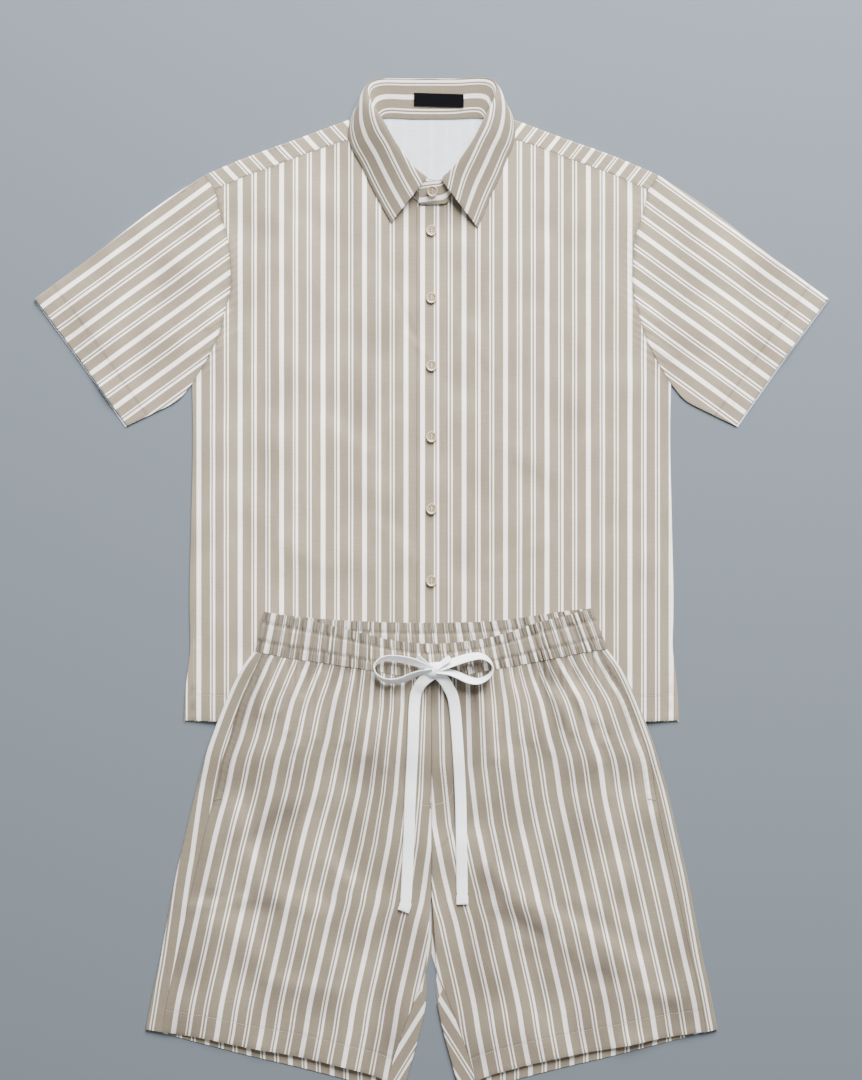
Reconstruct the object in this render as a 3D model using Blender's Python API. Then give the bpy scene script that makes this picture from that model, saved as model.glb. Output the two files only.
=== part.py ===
"""A striped shirt and its matching drawstring shorts, laid flat on a surface.

Run with Blender 4.5. Lengths in the tables are millimetres, x to the right of the centre line,
y towards the collar and z up from the surface. The shorts lie over the lower end of the shirt.
"""
import math
from collections import namedtuple

import bmesh
import bpy
from mathutils import Vector

MM = 0.001

# The tables are measured from a point near the waist. The origin is the middle of the laid set.
ORIGIN_SHIFT = Vector((0, 2.05, 0))

# Cloth
WALL = 1.0
SEAM_GAP = 0.3
INSET = 0.2
FLOOR_LAYER = WALL / 2
ARC_STEPS = 4

# Heights of the middle of each layer above the surface
SIDE_HEIGHT = 1.8
BODY_LOFT = 1.9
LOFT_REACH = 40.0
UNDERLAP_DROP = 1.3
UNDERLAP_START = 46.0
UNDERLAP_END = 20.0
SHORTS_OVER_SHIRT = 4.5
SHORTS_BAND_LIFT = 1.0
STEP_FOOT = -240.0
STEP_RUN = 50.0
BAND_LIFT_FOOT = -118.0
SHORTS_FOLD = 2.5
SHORTS_LOFT = 1.6

# The fly edge of the lapped front, and how far the other front runs under it
LAP_EDGE = -17.0
UNDERLAP_EDGE = 17.0

Fold = namedtuple("Fold", "x0 y0 x1 y1 width height")
Collar = namedtuple("Collar", "base_x base_y base_z fold_x fold_y fold_z edge_x edge_y edge_z hook")
Strand = namedtuple("Strand", "x y lift roll")
Paint = namedtuple("Paint", "colour roughness")

CLOTH = Paint((0.52, 0.47, 0.42), 0.85)
LINING = Paint((0.60, 0.57, 0.53), 0.85)
BUTTON = Paint((0.55, 0.43, 0.29), 0.4)
LABEL = Paint((0.01, 0.01, 0.012), 0.6)
CORD = Paint((0.75, 0.77, 0.80), 0.8)

# Shirt outline, right half, x and y. The left half is its mirror image.
SHOULDER = ((265, 480), (218, 500), (152, 524), (98, 544), (67, 555))
BACK_NECK = ((67, 555), (37, 549), (0, 547.5))
YOKE_SEAM = ((253, 463), (221, 477), (192, 488), (154, 502), (130, 511), (98, 521), (70, 524))
NECK_LINE = ((70, 524), (60, 510), (49, 493), (36, 474), (22, 456), (10, 446))
ARM_UPPER = ((265, 480), (259, 471), (253, 463))
ARM_LOWER = ((253, 463), (246, 432), (238, 406), (235, 373), (235, 346), (241, 321),
             (249, 293), (261, 267), (272, 249), (280, 236))
SIDE_SEAM = ((289, -157), (288, -128), (285, -98), (282, -70), (283, -16), (281, 77),
             (279, 171), (280, 236))
HEM_CORNER_Y = -157
HEM_MIDDLE_Y = -163
BACK_HEM_DROP = 3.5
SLEEVE_TOP = ((265, 480), (321, 443), (381, 397), (463, 336))
SLEEVE_HEM = ((463, 336), (408, 261), (356, 187))
SLEEVE_LOWER = ((280, 236), (297, 217), (323, 203), (356, 187))
SLEEVE_BACK_PEEK = 2.5
BACK_YOKE_ROWS = 2
NECK_END_Y = 443

# Waistband edges from the left end to the right end
BAND_BACK_TOP = ((-195, -30), (-154, -36), (-84, -41), (0, -43), (80, -40), (150, -30), (187, -26))
BAND_FRONT_TOP = ((-195, -30), (-163, -36), (-107, -48), (-50, -62), (4, -67), (67, -60),
                  (125, -42), (154, -35), (187, -26))
BAND_FRONT_BASE = ((-205, -76), (-166, -84), (-130, -89), (-72, -98), (0, -108), (74, -97),
                   (139, -85), (174, -78), (205, -73))
BAND_BACK_BASE = ((-205, -76), (-154, -81), (-84, -85), (0, -88), (80, -84), (150, -77), (205, -73))
BAND_BACK_HEIGHT = 6.0
BAND_FRONT_HEIGHT = 9.6
GATHERS = 45
GATHER_SHAPE = (1.0, -0.6, -0.4)
FRONT_GATHER = 1.2
BACK_GATHER = 0.8
BAND_CREST = 0.75
# Rows across the band: share of the way down, and how much of the gather stays there
BAND_ROWS = ((0.0, 1.0), (0.25, 0.55), (0.72, 0.55), (1.0, 0.9))

# Shorts outline, right half
SHORTS_OUTER = ((205, -74), (222, -98), (239, -133), (257, -179), (266, -208), (276, -242),
                (292, -310), (301, -350), (316, -430), (324, -467), (334, -518))
SHORTS_SEAM = ((198, -77), (214, -112), (226, -138), (239, -175), (250, -206), (257, -250),
               (270, -309), (283, -367), (296, -426), (309, -484), (315, -521))
SEAM_SHIFT = {-1: 0.0, 1: 6.0}
SEAM_SHIFT_REACH = 60.0
CENTRE_TOP_Y = -108
CROTCH_Y = -359
INNER_LEG = ((0, -359), (2.5, -391), (4.5, -423), (6, -448))
INSEAM = ((6, -448), (13, -467), (20, -485), (30, -510), (37, -531), (44, -550), (52, -579))
INNER_FOLD = ((6, -448), (5.5, -475), (9, -500), (16, -530), (24, -559), (33, -591))
BACK_CROTCH_Y = -432
FRONT_HEM = ((315, -521), (269, -528), (216, -539), (164, -548), (111, -560), (70, -571), (52, -579))
BACK_HEM = ((334, -518), (257, -538), (210, -550), (158, -562), (111, -574), (60, -588), (33, -596))
WRAP_START_Y = -466

# Largest folds: a ridge is positive and a trough is negative
SHIRT_FOLDS = (
    Fold(-160, 420, -150, 40, 60, 1.0),
    Fold(-95, 300, -105, -40, 45, -0.7),
    Fold(120, 400, 110, 60, 55, 1.0),
    Fold(190, 250, 200, 0, 50, 0.8),
    Fold(-230, 180, -225, -40, 40, 0.7),
    Fold(200, 430, 120, 380, 40, 1.2),
    Fold(-200, 440, -130, 400, 40, 1.0),
    Fold(300, 330, 430, 280, 45, 1.1),
    Fold(-300, 330, -430, 280, 45, 1.1),
)
SHORTS_FOLDS = (
    Fold(-165, -90, -195, -150, 22, 1.6),
    Fold(-120, -100, -150, -180, 24, 1.2),
    Fold(150, -90, 190, -150, 22, 1.8),
    Fold(165, -120, 190, -200, 22, 1.2),
    Fold(90, -105, 100, -170, 26, 1.0),
    Fold(-60, -115, -75, -190, 26, 1.0),
    Fold(45, -290, 110, -370, 40, 1.2),
    Fold(110, -370, 240, -450, 40, 1.1),
    Fold(-210, -330, -120, -380, 45, 1.0),
    Fold(-260, -400, -180, -440, 45, 0.9),
)

# Collar sections from the left front end, round the back, to the right front end
COLLAR = (
    Collar(-9, 447, 5.0, -6, 475, 13, -47, 424, 5.6, 7),
    Collar(-22, 456, 5.0, -22, 487, 17, -59, 445, 5.6, 7),
    Collar(-36, 474, 5.0, -33, 501, 21, -71, 468, 5.6, 7),
    Collar(-49, 493, 5.0, -44, 517, 24, -82, 491, 5.7, 6),
    Collar(-60, 510, 5.0, -54, 535, 25, -93, 511, 5.9, 7),
    Collar(-68, 526, 5.0, -64, 551, 23, -97, 528, 6.0, 8),
    Collar(-69, 538, 5.0, -71, 564, 20, -95, 543, 6.0, 9),
    Collar(-64, 546, 3.6, -74, 577, 17, -90, 556, 4.6, 10),
    Collar(-56, 547, 2.2, -70, 585, 15, -80, 566, 1.8, 11),
    Collar(-46, 547, 1.9, -57, 589, 14, -66, 564, 0.9, 11),
    Collar(-24, 546, 1.9, -30, 589, 13, -34, 561, 0.9, 11),
    Collar(0, 546, 1.9, 0, 589, 13, 0, 560, 0.9, 11),
    Collar(24, 546, 1.9, 30, 589, 13, 34, 562, 0.9, 11),
    Collar(46, 547, 1.9, 57, 590, 14, 66, 566, 0.9, 11),
    Collar(56, 547, 2.2, 70, 587, 15, 80, 569, 1.8, 11),
    Collar(64, 546, 3.6, 75, 578, 17, 90, 559, 4.6, 10),
    Collar(69, 538, 5.0, 73, 566, 20, 96, 545, 6.0, 9),
    Collar(68, 526, 5.0, 67, 553, 23, 98, 531, 6.0, 8),
    Collar(62, 513, 5.0, 59, 537, 25, 95, 515, 5.9, 7),
    Collar(52, 497, 5.0, 50, 519, 24, 88, 499, 5.7, 6),
    Collar(40, 479, 5.0, 38, 501, 21, 80, 479, 5.6, 7),
    Collar(27, 461, 5.4, 25, 485, 17, 67, 450, 5.6, 7),
    Collar(17, 447, 6.2, 11, 473, 14.5, 54, 418, 5.6, 7),
)
# The two ends of the stand run on past the leaf and lap at the throat
STAND_LEFT_TABS = (((7, 450, 4.3), (7, 472, 9.6)),)
STAND_RIGHT_TABS = (((2, 446.5, 6.6), (0, 471, 14.4)), ((-15, 447, 6.6), (-14, 469, 13.4)))
STAND_ROWS = 4
LEAF_SHARES = (0, 0.07, 0.15, 0.27, 0.45, 0.7, 1)
TUCK_START = 564.0
TUCK_RUN = 22.0
HOOK_LIFT = 0.3
LEAF_APPROACH = 0.12
TUCK_APPROACH = 0.85
LEAF_BELLY = 3.0

# Trim
BUTTON_RADIUS = 6.3
BUTTON_HEIGHT = 2.6
BUTTON_RIM = 1.3
BUTTON_DIP = 0.7
BUTTON_SIDES = 16
BUTTON_ROWS = (415, 336, 257, 174, 90, 6)
LABEL_SIZE = (58.0, 15.0)
LABEL_WALL = 1.0
LABEL_PLACE = (8.5, 562.0)
LABEL_SHARE = (0.30, 0.66)

# Drawstring: a flat cord lying on the cloth. Lift is the gap under it and roll its tilt in degrees.
CORD_WIDTH = 13.0
CORD_WALL = 2.0
CORD_STEP = 7.0
KNOT_CENTRE = (3.0, -97.0)
KNOT_RADII = (14.0, 9.5, 5.5)
TAIL_LEFT = (Strand(-14, -111, 4, 0), Strand(-19, -133, 1, 0), Strand(-22, -192, 0.6, 0),
             Strand(-25, -250, 1.2, 0), Strand(-27, -309, 0, 0), Strand(-30, -367, 0, 0),
             Strand(-33, -379, 0, 0))
TAIL_RIGHT = (Strand(18, -111, 4, 0), Strand(27, -133, 1, 0), Strand(32, -192, 0.6, 0),
              Strand(34, -250, 1.2, 0), Strand(35, -309, 0, 0), Strand(36, -371, 0, 0))
LOOP_LEFT = (Strand(-13, -91, 0.2, 35), Strand(-25, -87, 0.2, 40), Strand(-43, -84, 0.2, 45),
             Strand(-56, -84, 0.2, 60), Strand(-65, -90, 0, 80), Strand(-66, -98, 0, 95),
             Strand(-60, -106, 0, 105), Strand(-49, -110, 0, 110), Strand(-36, -109, 0, 110),
             Strand(-24, -104, 0, 110), Strand(-14, -101, 0, 110))
LOOP_RIGHT = (Strand(19, -90, 0.2, 35), Strand(31, -86, 0.2, 40), Strand(45, -82, 0.2, 45),
              Strand(58, -81, 0.2, 60), Strand(68, -87, 0, 80), Strand(71, -96, 0, 95),
              Strand(65, -105, 0, 105), Strand(54, -110, 0, 110), Strand(42, -108, 0, 110),
              Strand(31, -103, 0, 110), Strand(21, -100, 0, 110))


def ease(value):
    """Smooth step from 0 to 1."""
    value = min(max(value, 0.0), 1.0)
    return value * value * (3 - 2 * value)


def spline(points, fractions):
    """Points on a smooth curve through the given points, at fractions of its length."""
    nodes = [Vector([float(v) for v in p]) for p in points]
    ends = [2 * nodes[0] - nodes[1]] + nodes + [2 * nodes[-1] - nodes[-2]]
    fine = [nodes[0]]
    steps = 12
    for k in range(1, len(ends) - 2):
        a, b, c, d = ends[k - 1:k + 3]
        for n in range(1, steps + 1):
            t = n / steps
            fine.append(0.5 * (2 * b + (c - a) * t + (2 * a - 5 * b + 4 * c - d) * t * t
                               + (3 * b - a - 3 * c + d) * t ** 3))
    lengths = [0.0]
    for p, q in zip(fine, fine[1:]):
        lengths.append(lengths[-1] + (q - p).length)
    result = []
    k = 0
    for fraction in fractions:
        goal = fraction * lengths[-1]
        while k < len(fine) - 2 and lengths[k + 1] < goal:
            k += 1
        span = max(lengths[k + 1] - lengths[k], 1e-9)
        result.append(fine[k].lerp(fine[k + 1], min(max((goal - lengths[k]) / span, 0.0), 1.0)))
    return result


def even(count):
    """Fractions of count equal steps from 0 to 1."""
    return [n / count for n in range(count + 1)]


def sampled(points, count):
    return spline(points, even(count))


def mirrored(points, side):
    return [Vector((side * p[0], *p[1:])) for p in points]


def spread(points, axis):
    """How far along each point lies on one axis, as a share of the whole run."""
    first = points[0][axis]
    run = points[-1][axis] - first
    return [(p[axis] - first) / run for p in points]


def patch(bottom, top, left, right):
    """Grid of plan points inside four edges. Opposite edges have the same number of points."""
    last_i = len(bottom) - 1
    last_j = len(left) - 1
    grid = []
    for i in range(last_i + 1):
        s = i / last_i
        column = []
        for j in range(last_j + 1):
            t = j / last_j
            across = bottom[i] * (1 - t) + top[i] * t
            along = left[j] * (1 - s) + right[j] * s
            corners = ((bottom[0] * (1 - s) + bottom[-1] * s) * (1 - t)
                       + (top[0] * (1 - s) + top[-1] * s) * t)
            column.append(across + along - corners)
        grid.append(column)
    return grid


def inset(grid, amount):
    """Draw the rim of a plan grid in, so that sewn pieces keep a hair between them."""
    last_i = len(grid) - 1
    last_j = len(grid[0]) - 1
    result = [list(column) for column in grid]
    for i in range(last_i + 1):
        for j in range(last_j + 1):
            inner = grid[min(max(i, 1), last_i - 1)][min(max(j, 1), last_j - 1)]
            if (inner - grid[i][j]).length > amount:
                result[i][j] = grid[i][j] + (inner - grid[i][j]).normalized() * amount
    return result


def line_distance(x, y, line):
    """Distance from a point to a line of straight stretches."""
    best = 1e9
    for a, b in zip(line, line[1:]):
        dx = b[0] - a[0]
        dy = b[1] - a[1]
        t = ((x - a[0]) * dx + (y - a[1]) * dy) / (dx * dx + dy * dy)
        t = min(max(t, 0.0), 1.0)
        best = min(best, math.hypot(x - a[0] - t * dx, y - a[1] - t * dy))
    return best


def fold_relief(x, y, folds):
    """Height that the folds add at a place, each one a soft ridge that fades at its ends."""
    total = 0.0
    for fold in folds:
        dx = fold.x1 - fold.x0
        dy = fold.y1 - fold.y0
        length = math.hypot(dx, dy)
        along = ((x - fold.x0) * dx + (y - fold.y0) * dy) / length
        aside = ((x - fold.x0) * dy - (y - fold.y0) * dx) / length
        fade = ease(along / fold.width + 0.5) * ease((length - along) / fold.width + 0.5)
        total += fold.height * fade * math.exp(-(2.2 * aside / fold.width) ** 2)
    return total


def shirt_height(x, y):
    """Middle of the shirt's upper layer."""
    reach = line_distance(abs(x), y, SIDE_SEAM[:-1] + SLEEVE_LOWER)
    loft = ease(reach / LOFT_REACH)
    return SIDE_HEIGHT + loft * (BODY_LOFT + fold_relief(x, y, SHIRT_FOLDS) * ease((y + 40) / 60))


def shorts_under(x, y):
    """Middle of the shorts' lower layer, which steps up where the shirt lies below it."""
    step = ease((y - STEP_FOOT) / STEP_RUN)
    return FLOOR_LAYER + SHORTS_OVER_SHIRT * step + SHORTS_BAND_LIFT * ease((y - BAND_LIFT_FOOT) / 30)


def shorts_over(x, y):
    """Middle of the shorts' upper layer."""
    reach = min(line_distance(abs(x), y, SHORTS_OUTER), line_distance(abs(x), y, INNER_FOLD))
    loft = ease(reach / LOFT_REACH)
    near_band = ease((y + 135) / 45)
    level = BAND_FRONT_HEIGHT - BAND_BACK_HEIGHT
    rise = SHORTS_FOLD + loft * SHORTS_LOFT
    rise = rise * (1 - near_band) + level * near_band
    folds = fold_relief(x, y, SHORTS_FOLDS) * loft * (1 - near_band)
    return shorts_under(x, y) + rise + folds


def paint_material(name, paint):
    material = bpy.data.materials.new(name)
    material.use_nodes = True
    shader = material.node_tree.nodes["Principled BSDF"]
    shader.inputs["Base Color"].default_value = (*paint.colour, 1.0)
    shader.inputs["Roughness"].default_value = paint.roughness
    shader.inputs["Metallic"].default_value = 0.0
    return material


def add_object(name, mesh_points, faces, paint):
    """One closed solid from points in millimetres."""
    mesh = bpy.data.meshes.new(name)
    mesh.from_pydata([(Vector(p) + ORIGIN_SHIFT) * MM for p in mesh_points], [], faces)
    work = bmesh.new()
    work.from_mesh(mesh)
    bmesh.ops.recalc_face_normals(work, faces=work.faces)
    work.to_mesh(mesh)
    work.free()
    mesh.materials.append(paint_material(name + "_paint", paint))
    mesh.shade_smooth()
    mesh.set_sharp_from_angle(angle=math.radians(50))
    item = bpy.data.objects.new(name, mesh)
    bpy.context.scene.collection.objects.link(item)
    return item


def cloth(name, grid, paint, keep=None, loop=False, wall=WALL):
    """Thicken a grid of middle points into one closed wall.

    keep says which cells of the grid are cloth, and loop joins its last column to its first.
    """
    rows = len(grid[0])
    columns = len(grid)
    quads = []
    for i in range(columns if loop else columns - 1):
        for j in range(rows - 1):
            if keep is None or keep(i, j):
                n = (i + 1) % columns
                quads.append((i * rows + j, n * rows + j, n * rows + j + 1, i * rows + j + 1))
    points = [Vector(p) for column in grid for p in column]
    normals = [Vector((0, 0, 0)) for _ in points]
    sides = {}
    for quad in quads:
        a, b, c, d = (points[k] for k in quad)
        normal = (c - a).cross(d - b)
        for k in quad:
            normals[k] += normal
        for k, m in zip(quad, quad[1:] + quad[:1]):
            sides[(k, m)] = True
    used = sorted({k for quad in quads for k in quad})
    upper = {k: n for n, k in enumerate(used)}
    lower = {k: n + len(used) for n, k in enumerate(used)}
    offsets = {k: normals[k].normalized() * wall / 2 for k in used}
    mesh_points = [points[k] + offsets[k] for k in used] + [points[k] - offsets[k] for k in used]
    faces = [tuple(upper[k] for k in quad) for quad in quads]
    faces += [tuple(lower[k] for k in reversed(quad)) for quad in quads]
    for k, m in sides:
        if (m, k) not in sides:
            faces.append((upper[m], upper[k], lower[k], lower[m]))
    return add_object(name, mesh_points, faces, paint)


def raised(grid, height):
    """Plan grid to middle points, with the height of the layer at each place."""
    return [[(p.x, p.y, height(p.x, p.y)) for p in column] for column in grid]


def fold_over(inner_low, edge, inner_high, low, high):
    """Points round a folded edge, from the lower layer to the upper one."""
    radius = (high - low) / 2
    result = []
    for n in range(ARC_STEPS + 1):
        turn = math.pi * n / ARC_STEPS
        inner = inner_low if n <= ARC_STEPS / 2 else inner_high
        back = (inner - edge).normalized() * radius * (1 - math.sin(turn))
        spot = edge + back
        result.append((spot.x, spot.y, low + radius * (1 - math.cos(turn))))
    return result


def arm_upper():
    return sampled(ARM_UPPER, 3)


def arm_lower():
    return sampled(ARM_LOWER, 9)


def side_edge():
    return sampled(SIDE_SEAM, 9)


def make_shirt_back():
    """Flat panel from the hem up to the back yoke seam."""
    low = side_edge()
    edge = low + list(reversed(arm_lower()[BACK_YOKE_ROWS:-1]))
    right = [Vector((p.x, p.y - BACK_HEM_DROP * (1 - ease((p.y - HEM_CORNER_Y) / 50)))) for p in edge]
    left = mirrored(right, -1)
    hem = sampled(((-right[0].x, right[0].y), (0, HEM_MIDDLE_Y - BACK_HEM_DROP), tuple(right[0])), 10)
    seam = [left[-1].lerp(right[-1], f) for f in even(10)]
    plan = inset(patch(hem, seam, left, right), INSET)
    cloth("shirt_back", raised(plan, lambda x, y: FLOOR_LAYER), LINING)


def make_shirt_yoke():
    """Upper back and both shoulders in one piece, folded over at the shoulder lines."""
    shoulder = sampled(SHOULDER, 8)
    neck = sampled(BACK_NECK + ((-37, 549), (-67, 555)), 8)
    top = mirrored(shoulder, -1) + [Vector((-p.x, p.y)) for p in neck[1:-1]] + list(reversed(shoulder))
    arm = arm_upper() + arm_lower()[1:BACK_YOKE_ROWS + 1]
    right = list(reversed(arm))
    left = mirrored(right, -1)
    seam = [left[0].lerp(right[0], f) for f in spread(top, 0)]
    back = inset(patch(seam, top, left, right), INSET)
    flaps = {}
    for side in (-1, 1):
        outer = mirrored(arm_upper(), side)
        inner = [Vector((side * p[0], p[1])) for p in sampled(((67, 555), (70, 524)), 3)]
        ridge = mirrored(shoulder, side)
        edge = mirrored(sampled(YOKE_SEAM, 8), side)
        flaps[side] = inset(patch(ridge, edge, outer, inner), INSET)
    last = len(top) - 1
    rows_low = len(right) - 1
    grid = []
    for i in range(last + 1):
        column = [(p.x, p.y, FLOOR_LAYER) for p in back[i][:rows_low]]
        if 8 < i < last - 8:
            edge = back[i][rows_low]
            column += [(edge.x, edge.y, FLOOR_LAYER)] * (ARC_STEPS + 4)
        else:
            flap = flaps[-1][i] if i <= 8 else flaps[1][last - i]
            high = shirt_height(flap[0].x, flap[0].y)
            column += fold_over(back[i][rows_low - 1], back[i][rows_low], flap[1], FLOOR_LAYER, high)
            column += [(p.x, p.y, shirt_height(p.x, p.y)) for p in flap[1:]]
        grid.append(column)
    cloth("shirt_yoke", grid, CLOTH, keep=lambda i, j: j < rows_low or i < 8 or i >= last - 8)


def make_shirt_front(name, side, fly_edge, under):
    """Front panel. The lapped front reaches past the centre, and the other runs below it."""
    edge = side_edge() + list(reversed(arm_lower()[:-1]))
    outer = mirrored(edge, side)
    neck = mirrored(sampled(NECK_LINE, 6), side)
    tail = [Vector((neck[-1].x + (fly_edge - neck[-1].x) * f, neck[-1].y + (NECK_END_Y - neck[-1].y) * f))
            for f in even(3)]
    top = mirrored(sampled(YOKE_SEAM, 8), side) + neck[1:] + tail[1:]
    foot = Vector((fly_edge, HEM_MIDDLE_Y))
    fly = [foot.lerp(top[-1], f) for f in spread(outer, 1)]
    hem_corner = outer[0]
    hem = [Vector((hem_corner.x + (foot.x - hem_corner.x) * f,
                   hem_corner.y + (foot.y - hem_corner.y) * math.sin(f * math.pi / 2)))
           for f in spread(top, 0)]
    plan = inset(patch(hem, top, outer, fly), INSET)

    def height(x, y):
        level = shirt_height(x, y)
        if under:
            level -= (level - shirt_height(0, 0) + UNDERLAP_DROP) * ease(
                (x + UNDERLAP_START) / (UNDERLAP_START - UNDERLAP_END))
        return level

    cloth(name, raised(plan, height), CLOTH)


def make_sleeve(name, side):
    """One piece folded along the sleeve's upper edge, its ends meeting at the underarm seam."""
    stations = 8
    arm = mirrored(arm_upper() + arm_lower()[1:], side)
    across = even(len(arm) - 1)
    hem = mirrored(spline(SLEEVE_HEM, across), side)
    top = mirrored(sampled(SLEEVE_TOP, stations), side)
    low = mirrored(sampled(SLEEVE_LOWER, stations), side)
    plan = inset(patch(top, low, arm, hem), INSET)
    grid = []
    for i, column in enumerate(plan):
        outward = (plan[-1][0] - plan[-2][0]).normalized()
        peek = outward * SLEEVE_BACK_PEEK * ease((i - stations + 1) / 1.0)
        back = [p + peek for p in column]
        high = shirt_height(column[0].x, column[0].y)
        line = [(p.x, p.y, FLOOR_LAYER) for p in reversed(back[1:])]
        line += fold_over(back[1], column[0] + peek * 0.5, column[1], FLOOR_LAYER, high)
        line += [(p.x, p.y, shirt_height(p.x, p.y)) for p in column[1:]]
        grid.append(line)
    cloth(name, grid, CLOTH)


def make_collar_stand():
    """Band round the neck. Its right end laps over its left end at the throat."""
    lows = [Vector(p[0]) for p in STAND_LEFT_TABS]
    highs = [Vector(p[1]) for p in STAND_LEFT_TABS]
    lows += [Vector((c.base_x, c.base_y, c.base_z)) for c in COLLAR]
    highs += [Vector((c.fold_x, c.fold_y, c.fold_z)) for c in COLLAR]
    lows += [Vector(p[0]) for p in STAND_RIGHT_TABS]
    highs += [Vector(p[1]) for p in STAND_RIGHT_TABS]
    grid = []
    for low, high in zip(lows, highs):
        grid.append([low.lerp(high, n / (STAND_ROWS - 1)) for n in range(STAND_ROWS)])
    cloth("collar_stand", grid, LINING)


def leaf_sections():
    """Four guide points for each section of the leaf: fold, hook, approach and edge."""
    folds = [Vector((c.fold_x, c.fold_y, c.fold_z)) for c in COLLAR]
    result = []
    for k, section in enumerate(COLLAR):
        along = (folds[min(k + 1, len(folds) - 1)] - folds[max(k - 1, 0)]).normalized()
        base = Vector((section.base_x, section.base_y, section.base_z))
        edge = Vector((section.edge_x, section.edge_y, section.edge_z))
        up = folds[k] - base
        up = (up - along * up.dot(along)).normalized()
        outward = up.cross(along).normalized()
        tuck = ease((section.fold_y - TUCK_START) / TUCK_RUN)
        start = folds[k] + up * (WALL / 2 + SEAM_GAP)
        hook = start + outward * section.hook + up * section.hook * HOOK_LIFT * (1 - tuck)
        near = LEAF_APPROACH + (TUCK_APPROACH - LEAF_APPROACH) * tuck
        approach = edge.lerp(folds[k], near)
        approach.z = edge.z + LEAF_BELLY * (1 - tuck)
        result.append((start, hook, approach, edge))
    return result


def make_collar_leaf():
    """Turned-down leaf with a point at each front end."""
    grid = []
    for a, b, c, d in leaf_sections():
        grid.append([a * (1 - u) ** 3 + b * 3 * u * (1 - u) ** 2 + c * 3 * u * u * (1 - u) + d * u ** 3
                     for u in LEAF_SHARES])
    cloth("collar_leaf", grid, CLOTH)


def make_label():
    """Small bare label on the inner face of the stand, behind the neck."""
    centre = COLLAR[len(COLLAR) // 2]
    low = Vector((LABEL_PLACE[0], centre.base_y, centre.base_z))
    high = Vector((LABEL_PLACE[0], centre.fold_y, centre.fold_z))
    up = (high - low).normalized()
    normal = Vector((1, 0, 0)).cross(up)
    middle = low.lerp(high, sum(LABEL_SHARE) / 2) + normal * (WALL / 2 + SEAM_GAP + LABEL_WALL / 2)
    half_width = LABEL_SIZE[0] / 2
    half_height = LABEL_SIZE[1] / 2
    grid = [[middle + Vector((x, 0, 0)) * half_width + up * half_height * y for y in (-1, 0, 1)]
            for x in (-1, -0.5, 0, 0.5, 1)]
    cloth("neck_label", grid, LABEL, wall=LABEL_WALL)


def turned(name, place, normal, profile, paint):
    """Solid turned from a profile of radius and height, standing on a place."""
    turn = Vector((0, 0, 1)).rotation_difference(Vector(normal)).to_matrix()
    points = []
    faces = []
    for radius, height in profile:
        for n in range(BUTTON_SIDES):
            angle = 2 * math.pi * n / BUTTON_SIDES
            points.append(Vector(place) + turn @ Vector((radius * math.cos(angle),
                                                         radius * math.sin(angle), height)))
    for k in range(len(profile) - 1):
        for n in range(BUTTON_SIDES):
            m = (n + 1) % BUTTON_SIDES
            faces.append((k * BUTTON_SIDES + n, k * BUTTON_SIDES + m,
                          (k + 1) * BUTTON_SIDES + m, (k + 1) * BUTTON_SIDES + n))
    faces.append(tuple(reversed(range(BUTTON_SIDES))))
    faces.append(tuple((len(profile) - 1) * BUTTON_SIDES + n for n in range(BUTTON_SIDES)))
    add_object(name, points, faces, paint)


def make_buttons():
    """Six buttons down the placket and one on the collar stand."""
    profile = ((BUTTON_RADIUS * 0.8, 0), (BUTTON_RADIUS, BUTTON_HEIGHT * 0.4),
               (BUTTON_RADIUS * 0.97, BUTTON_HEIGHT * 0.85), (BUTTON_RADIUS * 0.88, BUTTON_HEIGHT),
               (BUTTON_RADIUS - BUTTON_RIM, BUTTON_HEIGHT - BUTTON_DIP * 0.4),
               (BUTTON_RADIUS - BUTTON_RIM * 1.5, BUTTON_HEIGHT - BUTTON_DIP))
    for number, y in enumerate(BUTTON_ROWS, start=1):
        spots = [shirt_height(x, y + d) for x in (-6, 0, 6) for d in (-6, 0, 6)]
        seat = max(spots) + WALL / 2 + SEAM_GAP
        turned("button_%d" % number, (0, y, seat), (0, 0, 1), profile, BUTTON)
    low = Vector(STAND_RIGHT_TABS[0][0])
    high = Vector(STAND_RIGHT_TABS[0][1])
    along = Vector((1, 0, 0))
    normal = along.cross(high - low).normalized()
    place = low.lerp(high, 0.55) + normal * (WALL / 2 + SEAM_GAP * 2)
    turned("button_collar", place, normal, profile, BUTTON)


def band_column(top, base, level, gather, wave):
    """One section down the band, with its share of the gather at each row."""
    column = []
    for share, keep in BAND_ROWS:
        spot = top.lerp(base, share)
        column.append((spot.x, spot.y, level + wave * gather * keep))
    return column


def make_waistband():
    """Elasticated band as a flattened ring, gathered all the way round."""
    steps = GATHERS * len(GATHER_SHAPE)
    shares = [(n + 0.5) / steps for n in range(steps)]
    front_top = spline(BAND_FRONT_TOP, shares)
    front_base = spline(BAND_FRONT_BASE, shares)
    back_top = spline(BAND_BACK_TOP, shares)
    back_base = spline(BAND_BACK_BASE, shares)
    grid = []
    for n in range(steps):
        sway = 1 + 0.25 * math.sin(n * 0.37) + 0.15 * math.sin(n * 1.13)
        wave = GATHER_SHAPE[n % len(GATHER_SHAPE)] * sway
        lean = 1 + 0.2 * ease((min(n, steps - 1 - n) - 2) / 4)
        base = front_base[n] + Vector((0, INSET))
        grid.append(band_column(front_top[n], base, BAND_FRONT_HEIGHT, FRONT_GATHER * lean / 1.2, wave))
    for n in reversed(range(steps)):
        sway = 1 + 0.25 * math.sin(n * 0.41 + 1) + 0.15 * math.sin(n * 1.31)
        wave = GATHER_SHAPE[n % len(GATHER_SHAPE)] * sway
        base = back_base[n] + Vector((0, INSET))
        grid.append(band_column(back_top[n], base, BAND_BACK_HEIGHT, BACK_GATHER, wave))
    cloth("waistband", grid, CLOTH, loop=True)


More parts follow.
